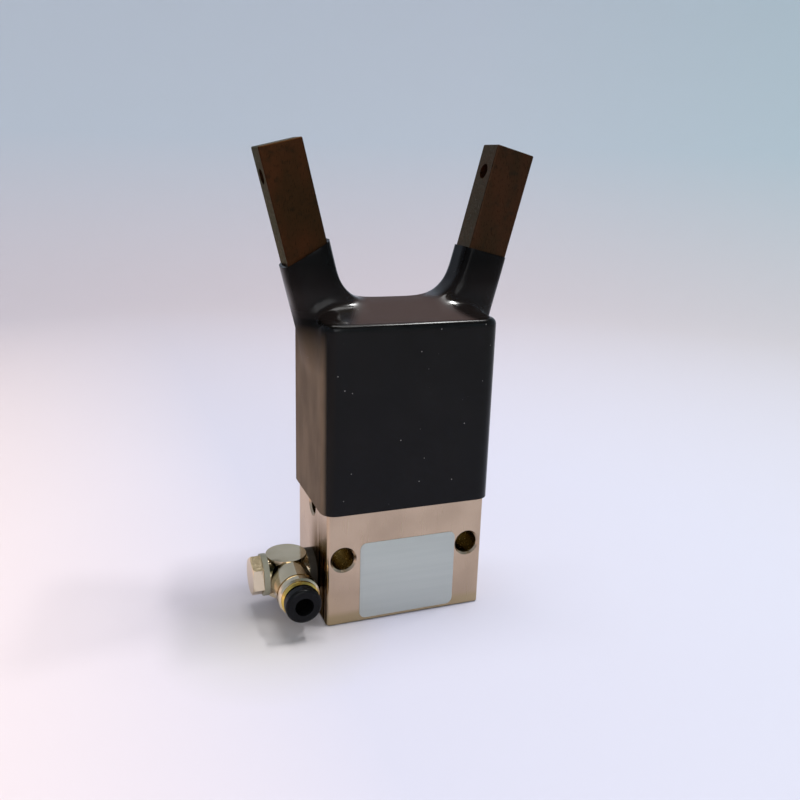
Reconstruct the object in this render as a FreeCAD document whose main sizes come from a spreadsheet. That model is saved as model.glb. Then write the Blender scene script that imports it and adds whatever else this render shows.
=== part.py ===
import FreeCAD, Part
import math
import os
import re

import Sketcher

# A two-finger angular gripper, single acting. Air under the piston lifts the rod, the slanted slots of its
# cam plate push the fingers' forked ends apart, and the fingers close. A spring brings the piston back down.
# Frame: origin in the middle of the block's bottom face, X across the fingers, Y towards the back, Z up.

SIZES = {
    # Block
    "body_width": 37.5,
    "body_depth": 25.0,
    "body_height": 65.0,
    "body_edge": 0.8,
    "foot_chamfer": 0.3,
    "seat_height": 27.0,
    "seat_step": 0.4,
    "slot_width": 7.6,
    "slot_clearance": 0.9,
    "mount_spacing": 30.0,
    "mount_height": 16.0,
    "mount_hole": 5.2,
    "countersink": 0.45,
    # Cylinder
    "bore": 20.0,
    "bore_lead": 0.4,
    "ring_setback": 1.0,
    "ring_thickness": 1.0,
    "ring_groove": 0.5,
    "ring_width": 1.9,
    "ring_gap": 5.0,
    "ring_eye": 1.5,
    "ring_eye_inset": 0.6,
    "ring_hole": 1.2,
    "cap_thickness": 4.4,
    "seal_cord": 1.9,
    "seal_clearance": 0.02,
    "groove_room": 0.6,
    "running_clearance": 0.03,
    "press_clearance": 0.02,
    # Piston and rod
    "stroke": 4.0,
    "stop_gap": 0.05,
    "piston_clearance": 0.08,
    "nose_diameter": 14.0,
    "nose_length": 4.3,
    "land_length": 5.6,
    "edge_chamfer": 0.4,
    "rod_diameter": 7.0,
    "plate_thickness": 3.0,
    "plate_wall": 1.5,
    "cam_clearance": 0.25,
    "screw_diameter": 4.0,
    "screw_grip": 7.0,
    "screw_head": 7.0,
    "screw_head_height": 2.8,
    "screw_socket": 3.0,
    "socket_depth": 1.6,
    "screw_clearance": 0.1,
    "bush_outside": 10.0,
    "bush_length": 4.6,
    "bush_flange": 12.6,
    "bush_flange_thickness": 1.0,
    "spring_diameter": 14.8,
    "spring_wire": 1.2,
    "spring_turns": 4,
    # Fingers
    "pivot_spacing": 26.08,
    "pivot_height": 52.0,
    "pivot_pin": 4.0,
    "lean": 14.2,
    "swing": 15.0,
    "finger_width": 9.25,
    "finger_depth": 7.2,
    "finger_reach": 53.85,
    "finger_edge": 0.3,
    "finger_tip_share": 0.6,
    "tool_hole": 3.3,
    "tool_setback": 5.9,
    "arm_length": 12.44,
    "arm_angle": 26.0,
    "arm_width": 6.4,
    "fork_start": 4.3,
    "fork_clearance": 0.2,
    "drive_pin": 3.0,
    "finger_bush": 6.0,
    # Boot
    "boot_head_room": 2.8,
    "boot_proud": 1.2,
    "boot_gap": 0.1,
    "boot_top_wall": 1.2,
    "boot_corner": 3.2,
    "boot_edge": 1.3,
    "sleeve_wall": 0.8,
    "sleeve_gap": 0.15,
    "sleeve_corner": 1.2,
    "sleeve_bare": 22.8,
    "sleeve_slant": 3.3,
    "crown_height": 3.0,
    "ridge_width": 20.0,
    "ridge_depth": 7.0,
    "web_radius": 8.0,
    # Air ports
    "port_height": 8.7,
    "port_thread": 5.0,
    "port_depth": 6.5,
    "passage": 2.4,
    "vent_height": 25.0,
    "vent_hole": 5.0,
    # Banjo fitting
    "washer_diameter": 9.6,
    "washer_thickness": 1.65,
    "head_washer_thickness": 1.2,
    "washer_clearance": 0.1,
    "banjo_diameter": 9.3,
    "banjo_height": 9.4,
    "banjo_boss": 9.0,
    "barrel_diameter": 9.2,
    "barrel_length": 13.05,
    "barrel_groove_depth": 0.35,
    "barrel_groove_width": 0.7,
    "barrel_lip": 1.7,
    "bolt_clearance": 0.05,
    "bolt_thread_length": 6.0,
    "hex_flats": 8.0,
    "hex_height": 2.55,
    "hex_turn": 8.0,
    "tube_diameter": 4.0,
    "tube_clearance": 0.05,
    "tube_stop": 5.0,
    "tube_socket_length": 2.0,
    "tube_seal_cord": 1.1,
    "gland_length": 1.8,
    "cartridge": 6.8,
    "grip_thickness": 0.5,
    "grip_teeth": 8,
    "grip_slot": 0.5,
    "ring_flange": 8.4,
    "ring_flange_thickness": 1.0,
    "ring_neck_length": 2.2,
    "button_flange": 8.0,
    "button_flange_length": 2.25,
    "button_neck": 5.2,
    "button_neck_length": 4.65,
    "button_travel": 0.8,
    "button_room": 0.1,
}

# Formulas that several pieces share
CAP_BASE = "(ring_setback + ring_thickness)"
CAP_TOP = "(ring_setback + ring_thickness + cap_thickness)"
PISTON_BASE = f"({CAP_TOP} + stop_gap)"
LAND_BASE = f"({PISTON_BASE} + nose_length)"
PISTON_TOP = f"({LAND_BASE} + land_length)"
GROOVE_WIDTH = "(seal_cord + groove_room)"
GROOVE_RADIUS = "(bore / 2 - seal_cord - 3 * seal_clearance)"
SEAL_RADIUS = "(bore / 2 - seal_clearance - seal_cord / 2)"
REST_ANGLE = "(lean + arm_angle)"
SHUT_ANGLE = "(lean + arm_angle - swing)"
DRIVE_X = f"(pivot_spacing / 2 - arm_length * sin({REST_ANGLE}))"
DRIVE_Z = f"(pivot_height - arm_length * cos({REST_ANGLE}))"
CAM_ACROSS = f"(arm_length * (sin({REST_ANGLE}) - sin({SHUT_ANGLE})))"
CAM_DOWN = f"(arm_length * (cos({SHUT_ANGLE}) - cos({REST_ANGLE})) + stroke)"
CAM_RADIUS = "(drive_pin / 2 + cam_clearance)"
PLATE_MARGIN = f"({CAM_RADIUS} + plate_wall)"
PLATE_FOOT = f"({DRIVE_Z} - {CAM_DOWN} - {PLATE_MARGIN})"
SLOT_FLOOR = f"({PLATE_FOOT} - slot_clearance)"
BORE_TOP = f"({SLOT_FLOOR} - bush_length)"
BOOT_TOP = "(body_height + boot_head_room + boot_top_wall)"
CROWN_TOP = f"({BOOT_TOP} + crown_height)"
SLEEVE_X = "(finger_width / 2 + sleeve_gap + sleeve_wall)"
SLEEVE_Y = "(finger_depth / 2 + sleeve_gap + sleeve_wall)"
BANJO_THICKNESS = "banjo_diameter"
BANJO_OFFSET = f"(washer_thickness + {BANJO_THICKNESS} / 2)"
BARREL_X = f"(-body_width / 2 - {BANJO_OFFSET})"
GRIP_BASE = "(tube_stop + tube_socket_length + gland_length)"
BUTTON_BACK = "(barrel_length + ring_flange_thickness + button_room + button_travel)"

SIDES = {"left": -1, "right": 1}

doc = FreeCAD.newDocument("angular_gripper")
sheet = doc.addObject("Spreadsheet::Sheet", "sizes")
for row, (alias, size) in enumerate(SIZES.items(), start=1):
    sheet.set(f"A{row}", alias)
    sheet.set(f"B{row}", str(size))
    sheet.setAlias(f"B{row}", alias)
doc.recompute()


def bound(formula):
    """Write a formula of size names as an expression on the sheet."""
    return re.sub(r"[a-z_]+", lambda word: f"sizes.{word[0]}" if word[0] in SIZES else word[0], formula)


def value(formula):
    """Work a formula out with the present sizes."""
    return float(sheet.evalExpression(formula))


def new_body(label):
    """Start a body whose label names its file."""
    body = doc.addObject("PartDesign::Body", label)
    body.Label = label
    return body


def place(piece, x="0", y="0", z="0", axis=(0, 0, 1), angle="0"):
    """Set a piece's place and turn, bound to the sheet."""
    turn = FreeCAD.Rotation(FreeCAD.Vector(*axis), 1)
    piece.Placement = FreeCAD.Placement(FreeCAD.Vector(), turn)
    piece.setExpression("Placement.Rotation.Angle", bound(angle))
    for letter, formula in zip("xyz", (x, y, z)):
        piece.setExpression(f"Placement.Base.{letter}", bound(formula))


def new_sketch(body, name, plane, offset=("0", "0", "0"), axis=(0, 0, 1), angle="0"):
    """Attach a sketch to one of the body's own planes, shifted and turned by formulas."""
    sketch = body.newObject("Sketcher::SketchObject", f"{body.Label}_{name}")
    support = next(feature for feature in body.Origin.OriginFeatures if feature.Role == plane)
    sketch.AttachmentSupport = (support, "")
    sketch.MapMode = "FlatFace"
    turn = FreeCAD.Rotation(FreeCAD.Vector(*axis), 1)
    sketch.AttachmentOffset = FreeCAD.Placement(FreeCAD.Vector(), turn)
    sketch.setExpression("AttachmentOffset.Rotation.Angle", bound(angle))
    for letter, formula in zip("xyz", offset):
        sketch.setExpression(f"AttachmentOffset.Base.{letter}", bound(formula))
    return sketch


def pin_point(sketch, item, point, x, y):
    """Hold a point of the sketch at a formula's place, measured from the sketch's origin."""
    for kind, formula in (("DistanceX", x), ("DistanceY", y)):
        index = sketch.addConstraint(Sketcher.Constraint(kind, -1, 1, item, point, value(formula)))
        sketch.setExpression(f"Constraints[{index}]", bound(formula))


def outline(sketch, corners, arcs=None):
    """Draw a closed outline through corners; arcs gives the centre of the side that leaves a corner."""
    arcs = arcs or {}
    points = [FreeCAD.Vector(value(x), value(y), 0) for x, y in corners]
    ends = []
    for n, start in enumerate(points):
        stop = points[(n + 1) % len(points)]
        if n not in arcs:
            item = sketch.addGeometry(Part.LineSegment(start, stop), False)
            ends.append((item, 1, 2))
            continue
        centre = FreeCAD.Vector(value(arcs[n][0]), value(arcs[n][1]), 0)
        circle = Part.Circle(centre, FreeCAD.Vector(0, 0, 1), (start - centre).Length)
        first = math.atan2(start.y - centre.y, start.x - centre.x)
        last = math.atan2(stop.y - centre.y, stop.x - centre.x)
        forward = (last - first) % (2 * math.pi) <= math.pi + 1e-6
        if not forward:
            first, last = last, first
        item = sketch.addGeometry(Part.ArcOfCircle(circle, first, last), False)
        ends.append((item, 1, 2) if forward else (item, 2, 1))
    for n, (item, begin, finish) in enumerate(ends):
        following = ends[(n + 1) % len(ends)]
        sketch.addConstraint(Sketcher.Constraint("Coincident", item, finish, following[0], following[1]))
        pin_point(sketch, item, begin, *corners[n])
        if n in arcs:
            letter = "DistanceX" if abs(points[n].x - points[(n + 1) % len(points)].x) < 1e-9 else "DistanceY"
            formula = arcs[n][0] if letter == "DistanceX" else arcs[n][1]
            index = sketch.addConstraint(Sketcher.Constraint(letter, -1, 1, item, 3, value(formula)))
            sketch.setExpression(f"Constraints[{index}]", bound(formula))


def rectangle(sketch, left, right, low, high):
    """Draw a rectangle between four formulas."""
    outline(sketch, [(left, low), (right, low), (right, high), (left, high)])


def rounded_rectangle(sketch, half_x, half_y, radius):
    """Draw a centred rectangle with round corners."""
    in_x, in_y = f"({half_x} - {radius})", f"({half_y} - {radius})"
    corners = [
        (f"-{in_x}", f"-{half_y}"), (in_x, f"-{half_y}"), (half_x, f"-{in_y}"), (half_x, in_y),
        (in_x, half_y), (f"-{in_x}", half_y), (f"-{half_x}", in_y), (f"-{half_x}", f"-{in_y}"),
    ]
    arcs = {1: (in_x, f"-{in_y}"), 3: (in_x, in_y), 5: (f"-{in_x}", in_y), 7: (f"-{in_x}", f"-{in_y}")}
    outline(sketch, corners, arcs)


def capsule(sketch, radius, length):
    """Draw a slot that starts at the sketch's origin and runs down by length."""
    corners = [(f"-{radius}", f"-{length}"), (radius, f"-{length}"), (radius, "0"), (f"-{radius}", "0")]
    outline(sketch, corners, {0: ("0", f"-{length}"), 2: ("0", "0")})


def circles(sketch, *rounds):
    """Draw circles, each given by its centre and radius formulas."""
    for x, y, radius in rounds:
        centre = FreeCAD.Vector(value(x), value(y), 0)
        circle = Part.Circle(centre, FreeCAD.Vector(0, 0, 1), value(radius))
        item = sketch.addGeometry(circle, False)
        pin_point(sketch, item, 3, x, y)
        index = sketch.addConstraint(Sketcher.Constraint("Radius", item, value(radius)))
        sketch.setExpression(f"Constraints[{index}]", bound(radius))


def pad(body, sketch, length, both=False, back=False):
    """Thicken a sketch into material."""
    feature = body.newObject("PartDesign::Pad", f"{sketch.Name}_pad")
    feature.Profile = sketch
    feature.setExpression("Length", bound(length))
    feature.Midplane = both
    feature.Reversed = back
    doc.recompute()
    return feature


def cut(body, kind, sketch, **settings):
    """Take material away with a feature of this kind, and make sure that it did."""
    before = body.Shape.Volume
    feature = body.newObject(kind, f"{sketch.Name}_cut")
    feature.Profile = sketch
    for name, setting in settings.items():
        if isinstance(setting, str):
            feature.setExpression(name, bound(setting))
        else:
            setattr(feature, name, setting)
    doc.recompute()
    if body.Shape.isNull() or body.Shape.Volume > before - 1e-6:
        raise RuntimeError(f"{feature.Name} cuts nothing")
    return feature


def pocket(body, sketch, length, both=False, back=False):
    """Cut a sketch's outline out of the body."""
    return cut(body, "PartDesign::Pocket", sketch, Length=length, Midplane=both, Reversed=back)


def revolve(body, sketch, axis="V_Axis"):
    """Turn a sketch round one of its axes into material."""
    feature = body.newObject("PartDesign::Revolution", f"{sketch.Name}_turned")
    feature.Profile = sketch
    feature.ReferenceAxis = (sketch, [axis])
    feature.Angle = 360.0
    doc.recompute()
    return feature


def groove(body, sketch, axis="V_Axis"):
    """Cut a sketch turned round one of its axes out of the body."""
    return cut(body, "PartDesign::Groove", sketch, ReferenceAxis=(sketch, [axis]), Angle=360.0)


def dress(body, kind, name, size, chosen):
    """Round or chamfer the chosen edges of the body."""
    base = body.Tip
    edges = [f"Edge{n}" for n, edge in enumerate(base.Shape.Edges, start=1) if chosen(edge)]
    feature = body.newObject(f"PartDesign::{kind}", f"{body.Label}_{name}")
    feature.Base = (base, edges)
    feature.setExpression("Radius" if kind == "Fillet" else "Size", bound(size))
    doc.recompute()
    return feature


def countersink(body, name, plane, offset, hole, back=False):
    """Break the edge of a hole with a 45 degree cone, sunk from the plane that offset gives."""
    before = body.Shape.Volume
    cone = body.newObject("PartDesign::SubtractiveCone", f"{body.Label}_{name}")
    support = next(feature for feature in body.Origin.OriginFeatures if feature.Role == plane)
    cone.AttachmentSupport = (support, "")
    cone.MapMode = "FlatFace"
    turn = FreeCAD.Rotation(FreeCAD.Vector(1, 0, 0), 180 if back else 0)
    cone.AttachmentOffset = FreeCAD.Placement(FreeCAD.Vector(), turn)
    for letter, formula in zip("xyz", offset):
        cone.setExpression(f"AttachmentOffset.Base.{letter}", bound(formula))
    cone.setExpression("Radius1", bound(f"{hole} / 2 + countersink"))
    cone.setExpression("Radius2", bound(f"{hole} / 2"))
    cone.setExpression("Height", bound("countersink"))
    doc.recompute()
    if body.Shape.Volume > before - 1e-6:
        raise RuntimeError(f"{cone.Name} cuts nothing")


def turned(label, corners, arcs=None):
    """Make a piece on the lathe: corners are (radius, height) along its own axis."""
    body = new_body(label)
    profile = new_sketch(body, "profile", "XZ_Plane")
    outline(profile, corners, arcs)
    revolve(body, profile)
    return body


def chamfered_pin(label, radius, length):
    """Make a straight pin, centred on its own axis, with chamfered ends."""
    half = f"({length} / 2)"
    nose = f"({radius} - edge_chamfer)"
    return turned(label, [
        ("0", f"-{half}"), (nose, f"-{half}"), (radius, f"-({half} - edge_chamfer)"),
        (radius, f"{half} - edge_chamfer"), (nose, half), ("0", half),
    ])


def seal_ring(label, radius, cord, height):
    """Make a round-section seal at a height on the Z axis."""
    ring = doc.addObject("Part::Torus", label)
    ring.Label = label
    ring.setExpression("Radius1", bound(radius))
    ring.setExpression("Radius2", bound(f"{cord} / 2"))
    place(ring, z=height)
    return ring


# Housing: block with a stepped bore from below and a finger slot from above
def make_housing():
    body = new_body("housing")
    foot = new_sketch(body, "foot", "XY_Plane")
    rounded_rectangle(foot, "(body_width / 2)", "(body_depth / 2)", "body_edge")
    pad(body, foot, "seat_height")
    dress(body, "Chamfer", "foot_edge", "foot_chamfer",
          lambda edge: max(vertex.Z for vertex in edge.Vertexes) < 1e-3)
    upper = new_sketch(body, "upper", "XY_Plane", ("0", "0", "seat_height"))
    rounded_rectangle(upper, "(body_width / 2 - seat_step)", "(body_depth / 2 - seat_step)", "body_edge")
    pad(body, upper, "body_height - seat_height")

    slot = new_sketch(body, "finger_slot", "YZ_Plane")
    rectangle(slot, "-slot_width / 2", "slot_width / 2", SLOT_FLOOR, "body_height + seat_step")
    pocket(body, slot, "body_width * 2", both=True)

    bore = new_sketch(body, "bore", "XZ_Plane")
    radius, wide = "(bore / 2)", "(bore / 2 + ring_groove)"
    low, high = "(ring_setback - stop_gap)", f"({CAP_BASE} + stop_gap)"
    outline(bore, [
        ("0", "0"), (f"{radius} + bore_lead", "0"), (radius, "bore_lead"), (radius, low), (wide, low),
        (wide, high), (radius, high), (radius, BORE_TOP), ("bush_outside / 2 + press_clearance", BORE_TOP),
        ("bush_outside / 2 + press_clearance", SLOT_FLOOR), ("0", SLOT_FLOOR),
    ])
    groove(body, bore)

    mounts = new_sketch(body, "mounts", "XZ_Plane")
    circles(mounts, *[(f"{side} * mount_spacing / 2", "mount_height", "mount_hole / 2") for side in (-1, 1)])
    pocket(body, mounts, "body_depth * 2", both=True)
    for side, x in (("left", "-mount_spacing / 2"), ("right", "mount_spacing / 2")):
        countersink(body, f"front_{side}", "XZ_Plane", (x, "mount_height", "body_depth / 2"), "mount_hole", True)
        countersink(body, f"back_{side}", "XZ_Plane", (x, "mount_height", "-body_depth / 2"), "mount_hole")

    pivots = new_sketch(body, "pivots", "XZ_Plane")
    circles(pivots, *[(f"{side} * pivot_spacing / 2", "pivot_height", "pivot_pin / 2 + press_clearance")
                      for side in (-1, 1)])
    pocket(body, pivots, "body_depth * 2", both=True)

    for name, height, hole in (("port", "port_height", "port_thread"), ("vent", "vent_height", "vent_hole")):
        mouth = new_sketch(body, name, "YZ_Plane", ("0", "0", "-body_width / 2"))
        circles(mouth, ("0", height, f"{hole} / 2"))
        pocket(body, mouth, "port_depth", back=True)
        way = new_sketch(body, f"{name}_passage", "YZ_Plane", ("0", "0", "-body_width / 2"))
        circles(way, ("0", height, "passage / 2"))
        pocket(body, way, "body_width / 2", back=True)
        countersink(body, f"{name}_edge", "YZ_Plane", ("0", height, "-body_width / 2"), hole)
    return body


# End cap: round plug with a seal groove, held in the bore by the retaining ring
def make_end_cap():
    radius = "(bore / 2 - piston_clearance)"
    middle = f"({CAP_BASE} + cap_thickness / 2)"
    low, high = f"({middle} - {GROOVE_WIDTH} / 2)", f"({middle} + {GROOVE_WIDTH} / 2)"
    return turned("end_cap", [
        ("0", CAP_BASE), (f"{radius} - edge_chamfer", CAP_BASE), (radius, f"{CAP_BASE} + edge_chamfer"),
        (radius, low), (GROOVE_RADIUS, low), (GROOVE_RADIUS, high), (radius, high),
        (radius, f"{CAP_TOP} - edge_chamfer"), (f"{radius} - edge_chamfer", CAP_TOP), ("0", CAP_TOP),
    ])


def make_end_cap_seal():
    return seal_ring("end_cap_seal", SEAL_RADIUS, "seal_cord", f"{CAP_BASE} + cap_thickness / 2")


# Retaining ring: open spring ring with an eye at each end
def make_retaining_ring():
    body = new_body("retaining_ring")
    outside = "(bore / 2 + ring_groove - stop_gap)"
    inside = f"({outside} - ring_width)"
    eye_x = "(ring_gap / 2 + ring_eye)"
    eye_y = f"-({inside} - ring_eye_inset)"
    band = new_sketch(body, "band", "XY_Plane", ("0", "0", "ring_setback"))
    circles(band, ("0", "0", outside), ("0", "0", inside))
    pad(body, band, "ring_thickness")
    for name, side in SIDES.items():
        lug = new_sketch(body, f"eye_{name}", "XY_Plane", ("0", "0", "ring_setback"))
        circles(lug, (f"{side} * {eye_x}", eye_y, "ring_eye"))
        pad(body, lug, "ring_thickness")
    gap = new_sketch(body, "gap", "XY_Plane")
    rectangle(gap, "-ring_gap / 2", "ring_gap / 2", f"-{outside} * 2", "0")
    pocket(body, gap, "bore", both=True)
    holes = new_sketch(body, "holes", "XY_Plane")
    circles(holes, *[(f"{side} * {eye_x}", eye_y, "ring_hole / 2") for side in SIDES.values()])
    pocket(body, holes, "bore", both=True)
    return body


# Piston: nose down to the cap, land with a seal groove, counterbore for the rod's screw
def make_piston():
    radius = "(bore / 2 - piston_clearance)"
    middle = f"({LAND_BASE} + land_length / 2)"
    low, high = f"({middle} - {GROOVE_WIDTH} / 2)", f"({middle} + {GROOVE_WIDTH} / 2)"
    shank = "(screw_diameter / 2 + screw_clearance)"
    recess = "(screw_head / 2 + 3 * screw_clearance)"
    recess_top = f"({PISTON_BASE} + screw_head_height + 3 * screw_clearance)"
    nose = "(nose_diameter / 2)"
    return turned("piston", [
        (recess, PISTON_BASE), (f"{nose} - edge_chamfer", PISTON_BASE), (nose, f"{PISTON_BASE} + edge_chamfer"),
        (nose, LAND_BASE), (f"{radius} - edge_chamfer", LAND_BASE), (radius, f"{LAND_BASE} + edge_chamfer"),
        (radius, low), (GROOVE_RADIUS, low), (GROOVE_RADIUS, high), (radius, high),
        (radius, f"{PISTON_TOP} - edge_chamfer"), (f"{radius} - edge_chamfer", PISTON_TOP), (shank, PISTON_TOP),
        (shank, recess_top), (recess, recess_top),
    ])


def make_piston_seal():
    return seal_ring("piston_seal", SEAL_RADIUS, "seal_cord", f"{LAND_BASE} + land_length / 2")


def hexagon(sketch, flats):
    """Draw a hexagon by its width across flats, a corner on each side of the sketch's X axis."""
    radius = f"{flats} / 2 / cos(30)"
    outline(sketch, [(f"{radius} * cos({60 * n})", f"{radius} * sin({60 * n})") for n in range(6)])


# Piston screw: socket head in the piston's counterbore, shank up into the rod
def make_piston_screw():
    head_top = f"({PISTON_BASE} + screw_head_height + 3 * screw_clearance)"
    head_base = f"({PISTON_BASE} + 3 * screw_clearance)"
    tip = f"({PISTON_TOP} + screw_grip)"
    body = turned("piston_screw", [
        ("0", head_base), ("screw_head / 2 - edge_chamfer", head_base),
        ("screw_head / 2", f"{head_base} + edge_chamfer"), ("screw_head / 2", head_top),
        ("screw_diameter / 2", head_top), ("screw_diameter / 2", tip), ("0", tip),
    ])
    socket = new_sketch(body, "socket", "XY_Plane", ("0", "0", head_base))
    hexagon(socket, "screw_socket")
    pocket(body, socket, "socket_depth", back=True)
    return body


# Drive rod: round rod with a cam plate on top, two slots that spread downwards
def make_drive_rod():
    body = new_body("drive_rod")
    rod = new_sketch(body, "rod", "XY_Plane", ("0", "0", PISTON_TOP))
    circles(rod, ("0", "0", "rod_diameter / 2"))
    pad(body, rod, f"{PLATE_FOOT} + plate_wall - {PISTON_TOP}")
    plate = new_sketch(body, "plate", "XZ_Plane")
    half = [
        (f"({DRIVE_X} + {CAM_ACROSS} + {PLATE_MARGIN})", PLATE_FOOT),
        (f"({DRIVE_X} + {CAM_ACROSS} + {PLATE_MARGIN})", f"{DRIVE_Z} - {CAM_DOWN}"),
        (f"({DRIVE_X} + {PLATE_MARGIN})", DRIVE_Z),
        (f"({DRIVE_X} + {PLATE_MARGIN} / 2)", f"{DRIVE_Z} + {PLATE_MARGIN}"),
    ]
    outline(plate, half + [(f"-{x}", z) for x, z in reversed(half)])
    pad(body, plate, "plate_thickness", both=True)
    for name, side in SIDES.items():
        slot = new_sketch(body, f"cam_{name}", "XZ_Plane", (f"{side} * {DRIVE_X}", DRIVE_Z, "0"),
                          (0, 0, side), f"atan({CAM_ACROSS} / {CAM_DOWN})")
        capsule(slot, CAM_RADIUS, f"sqrt({CAM_ACROSS} ^ 2 + {CAM_DOWN} ^ 2)")
        pocket(body, slot, "rod_diameter * 2", both=True)
    tapped = new_sketch(body, "tapped_hole", "XY_Plane", ("0", "0", PISTON_TOP))
    circles(tapped, ("0", "0", "screw_diameter / 2 + screw_clearance / 2"))
    pocket(body, tapped, "screw_grip + screw_diameter / 2", back=True)
    return body


# Rod bush: flanged guide, pressed up into the block from the bore
def make_rod_bush():
    inside = "(rod_diameter / 2 + running_clearance)"
    flange_base = f"({BORE_TOP} - bush_flange_thickness)"
    return turned("rod_bush", [
        (inside, flange_base), ("bush_flange / 2", flange_base), ("bush_flange / 2", BORE_TOP),
        ("bush_outside / 2", BORE_TOP), ("bush_outside / 2", f"{SLOT_FLOOR} - edge_chamfer"),
        ("bush_outside / 2 - edge_chamfer", SLOT_FLOOR), (inside, SLOT_FLOOR),
    ])


# Return spring: each half turn is a tilted half ring, so the wire runs on smoothly from one to the next
def make_return_spring():
    low = value(f"{PISTON_TOP} + stop_gap + spring_wire / 2")
    high = value(f"{BORE_TOP} - stop_gap - spring_wire / 2")
    halves = 2 * int(value("spring_turns"))
    rise = (high - low) / halves
    coil_radius = value("spring_diameter / 2")
    tilt = math.degrees(math.atan2(rise / 2, coil_radius))
    up = FreeCAD.Vector(0, 0, 1)
    half_rings = []
    for n in range(halves):
        ring = Part.makeTorus(math.hypot(coil_radius, rise / 2), value("spring_wire / 2"),
                              FreeCAD.Vector(), up, 0, 360, 180)
        lean = FreeCAD.Rotation(FreeCAD.Vector(0, 1, 0), tilt)
        turn = FreeCAD.Rotation(up, 180 * n)
        ring.Placement = FreeCAD.Placement(up * (low + rise * (n + 0.5)), turn.multiply(lean))
        half_rings.append(ring)
    spring = doc.addObject("Part::Feature", "return_spring")
    spring.Label = "return_spring"
    spring.Shape = half_rings[0].multiFuse(half_rings[1:]).Solids[0]
    return spring


# Fingers: straight bars, round at the pivot, with a forked arm to the drive pin. Own origin at the pivot
def make_finger(name, side):
    body = new_body(f"finger_{name}")
    half = "(finger_width / 2)"
    shaft = new_sketch(body, "shaft", "XZ_Plane")
    rectangle(shaft, f"-{half}", half, "0", "finger_reach")
    pad(body, shaft, "finger_depth", both=True)
    limits = [value(half), value("finger_depth / 2")]
    dress(body, "Fillet", "edges", "finger_edge", lambda edge: edge.Length > value("finger_reach") - 1e-3
          and all(abs(abs(c) - limit) < 1e-3 for c, limit in zip(edge.CenterOfMass[:2], limits)))
    dress(body, "Chamfer", "tip", "finger_edge * finger_tip_share",
          lambda edge: min(vertex.Z for vertex in edge.Vertexes) > value("finger_reach") - 1e-3)
    hub = new_sketch(body, "hub", "XZ_Plane")
    circles(hub, ("0", "0", half))
    pad(body, hub, "finger_depth", both=True)
    arm = new_sketch(body, "arm", "XZ_Plane", axis=(0, 0, -side), angle="arm_angle")
    capsule(arm, "(arm_width / 2)", "arm_length")
    pad(body, arm, "finger_depth", both=True)
    fork = new_sketch(body, "fork", "XZ_Plane", axis=(0, 0, -side), angle="arm_angle")
    rectangle(fork, "-arm_width * 2", "arm_width * 2", "-arm_length * 2", "-fork_start")
    pocket(body, fork, "plate_thickness + 2 * fork_clearance", both=True)
    holes = new_sketch(body, "holes", "XZ_Plane", axis=(0, 0, -side), angle="arm_angle")
    circles(holes, ("0", "0", "finger_bush / 2 + press_clearance"),
            ("0", "-arm_length", "drive_pin / 2 + press_clearance"))
    pocket(body, holes, "finger_depth * 2", both=True)
    tool = new_sketch(body, "tool_hole", "YZ_Plane")
    circles(tool, ("0", "finger_reach - tool_setback", "tool_hole / 2"))
    pocket(body, tool, "finger_width * 2", both=True)
    place(body, f"{side} * pivot_spacing / 2", "0", "pivot_height", (0, side, 0), "lean")
    return body


def make_finger_bush(name, side):
    outside, inside = "finger_bush / 2", "pivot_pin / 2 + running_clearance"
    half = "finger_depth / 2"
    body = turned(f"finger_bush_{name}", [
        (inside, f"-{half}"), (outside, f"-{half}"), (outside, half), (inside, half),
    ])
    place(body, f"{side} * pivot_spacing / 2", "0", "pivot_height", (1, 0, 0), "90")
    return body


def make_pivot_pin(name, side):
    body = chamfered_pin(f"pivot_pin_{name}", "(pivot_pin / 2)", "(body_depth - 2 * seat_step - edge_chamfer)")
    place(body, f"{side} * pivot_spacing / 2", "0", "pivot_height", (1, 0, 0), "90")
    return body


def make_drive_pin(name, side):
    body = chamfered_pin(f"drive_pin_{name}", "(drive_pin / 2)", "finger_depth")
    place(body, f"{side} * {DRIVE_X}", "0", DRIVE_Z, (1, 0, 0), "90")
    return body


def hip_outlines(body, name, drop):
    """Draw the foot and the ridge of the boot's hipped crown, both lowered by drop."""
    foot = new_sketch(body, f"{name}_foot", "XY_Plane", ("0", "0", f"{BOOT_TOP} - {drop}"))
    wide, deep = "(body_width / 2 + boot_proud - boot_corner)", "(body_depth / 2 + boot_proud - boot_corner)"
    rectangle(foot, f"-{wide}", wide, f"-{deep}", deep)
    ridge = new_sketch(body, f"{name}_ridge", "XY_Plane", ("0", "0", f"{CROWN_TOP} - {drop}"))
    rectangle(ridge, "-ridge_width / 2", "ridge_width / 2", "-ridge_depth / 2", "ridge_depth / 2")
    return foot, ridge


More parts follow.
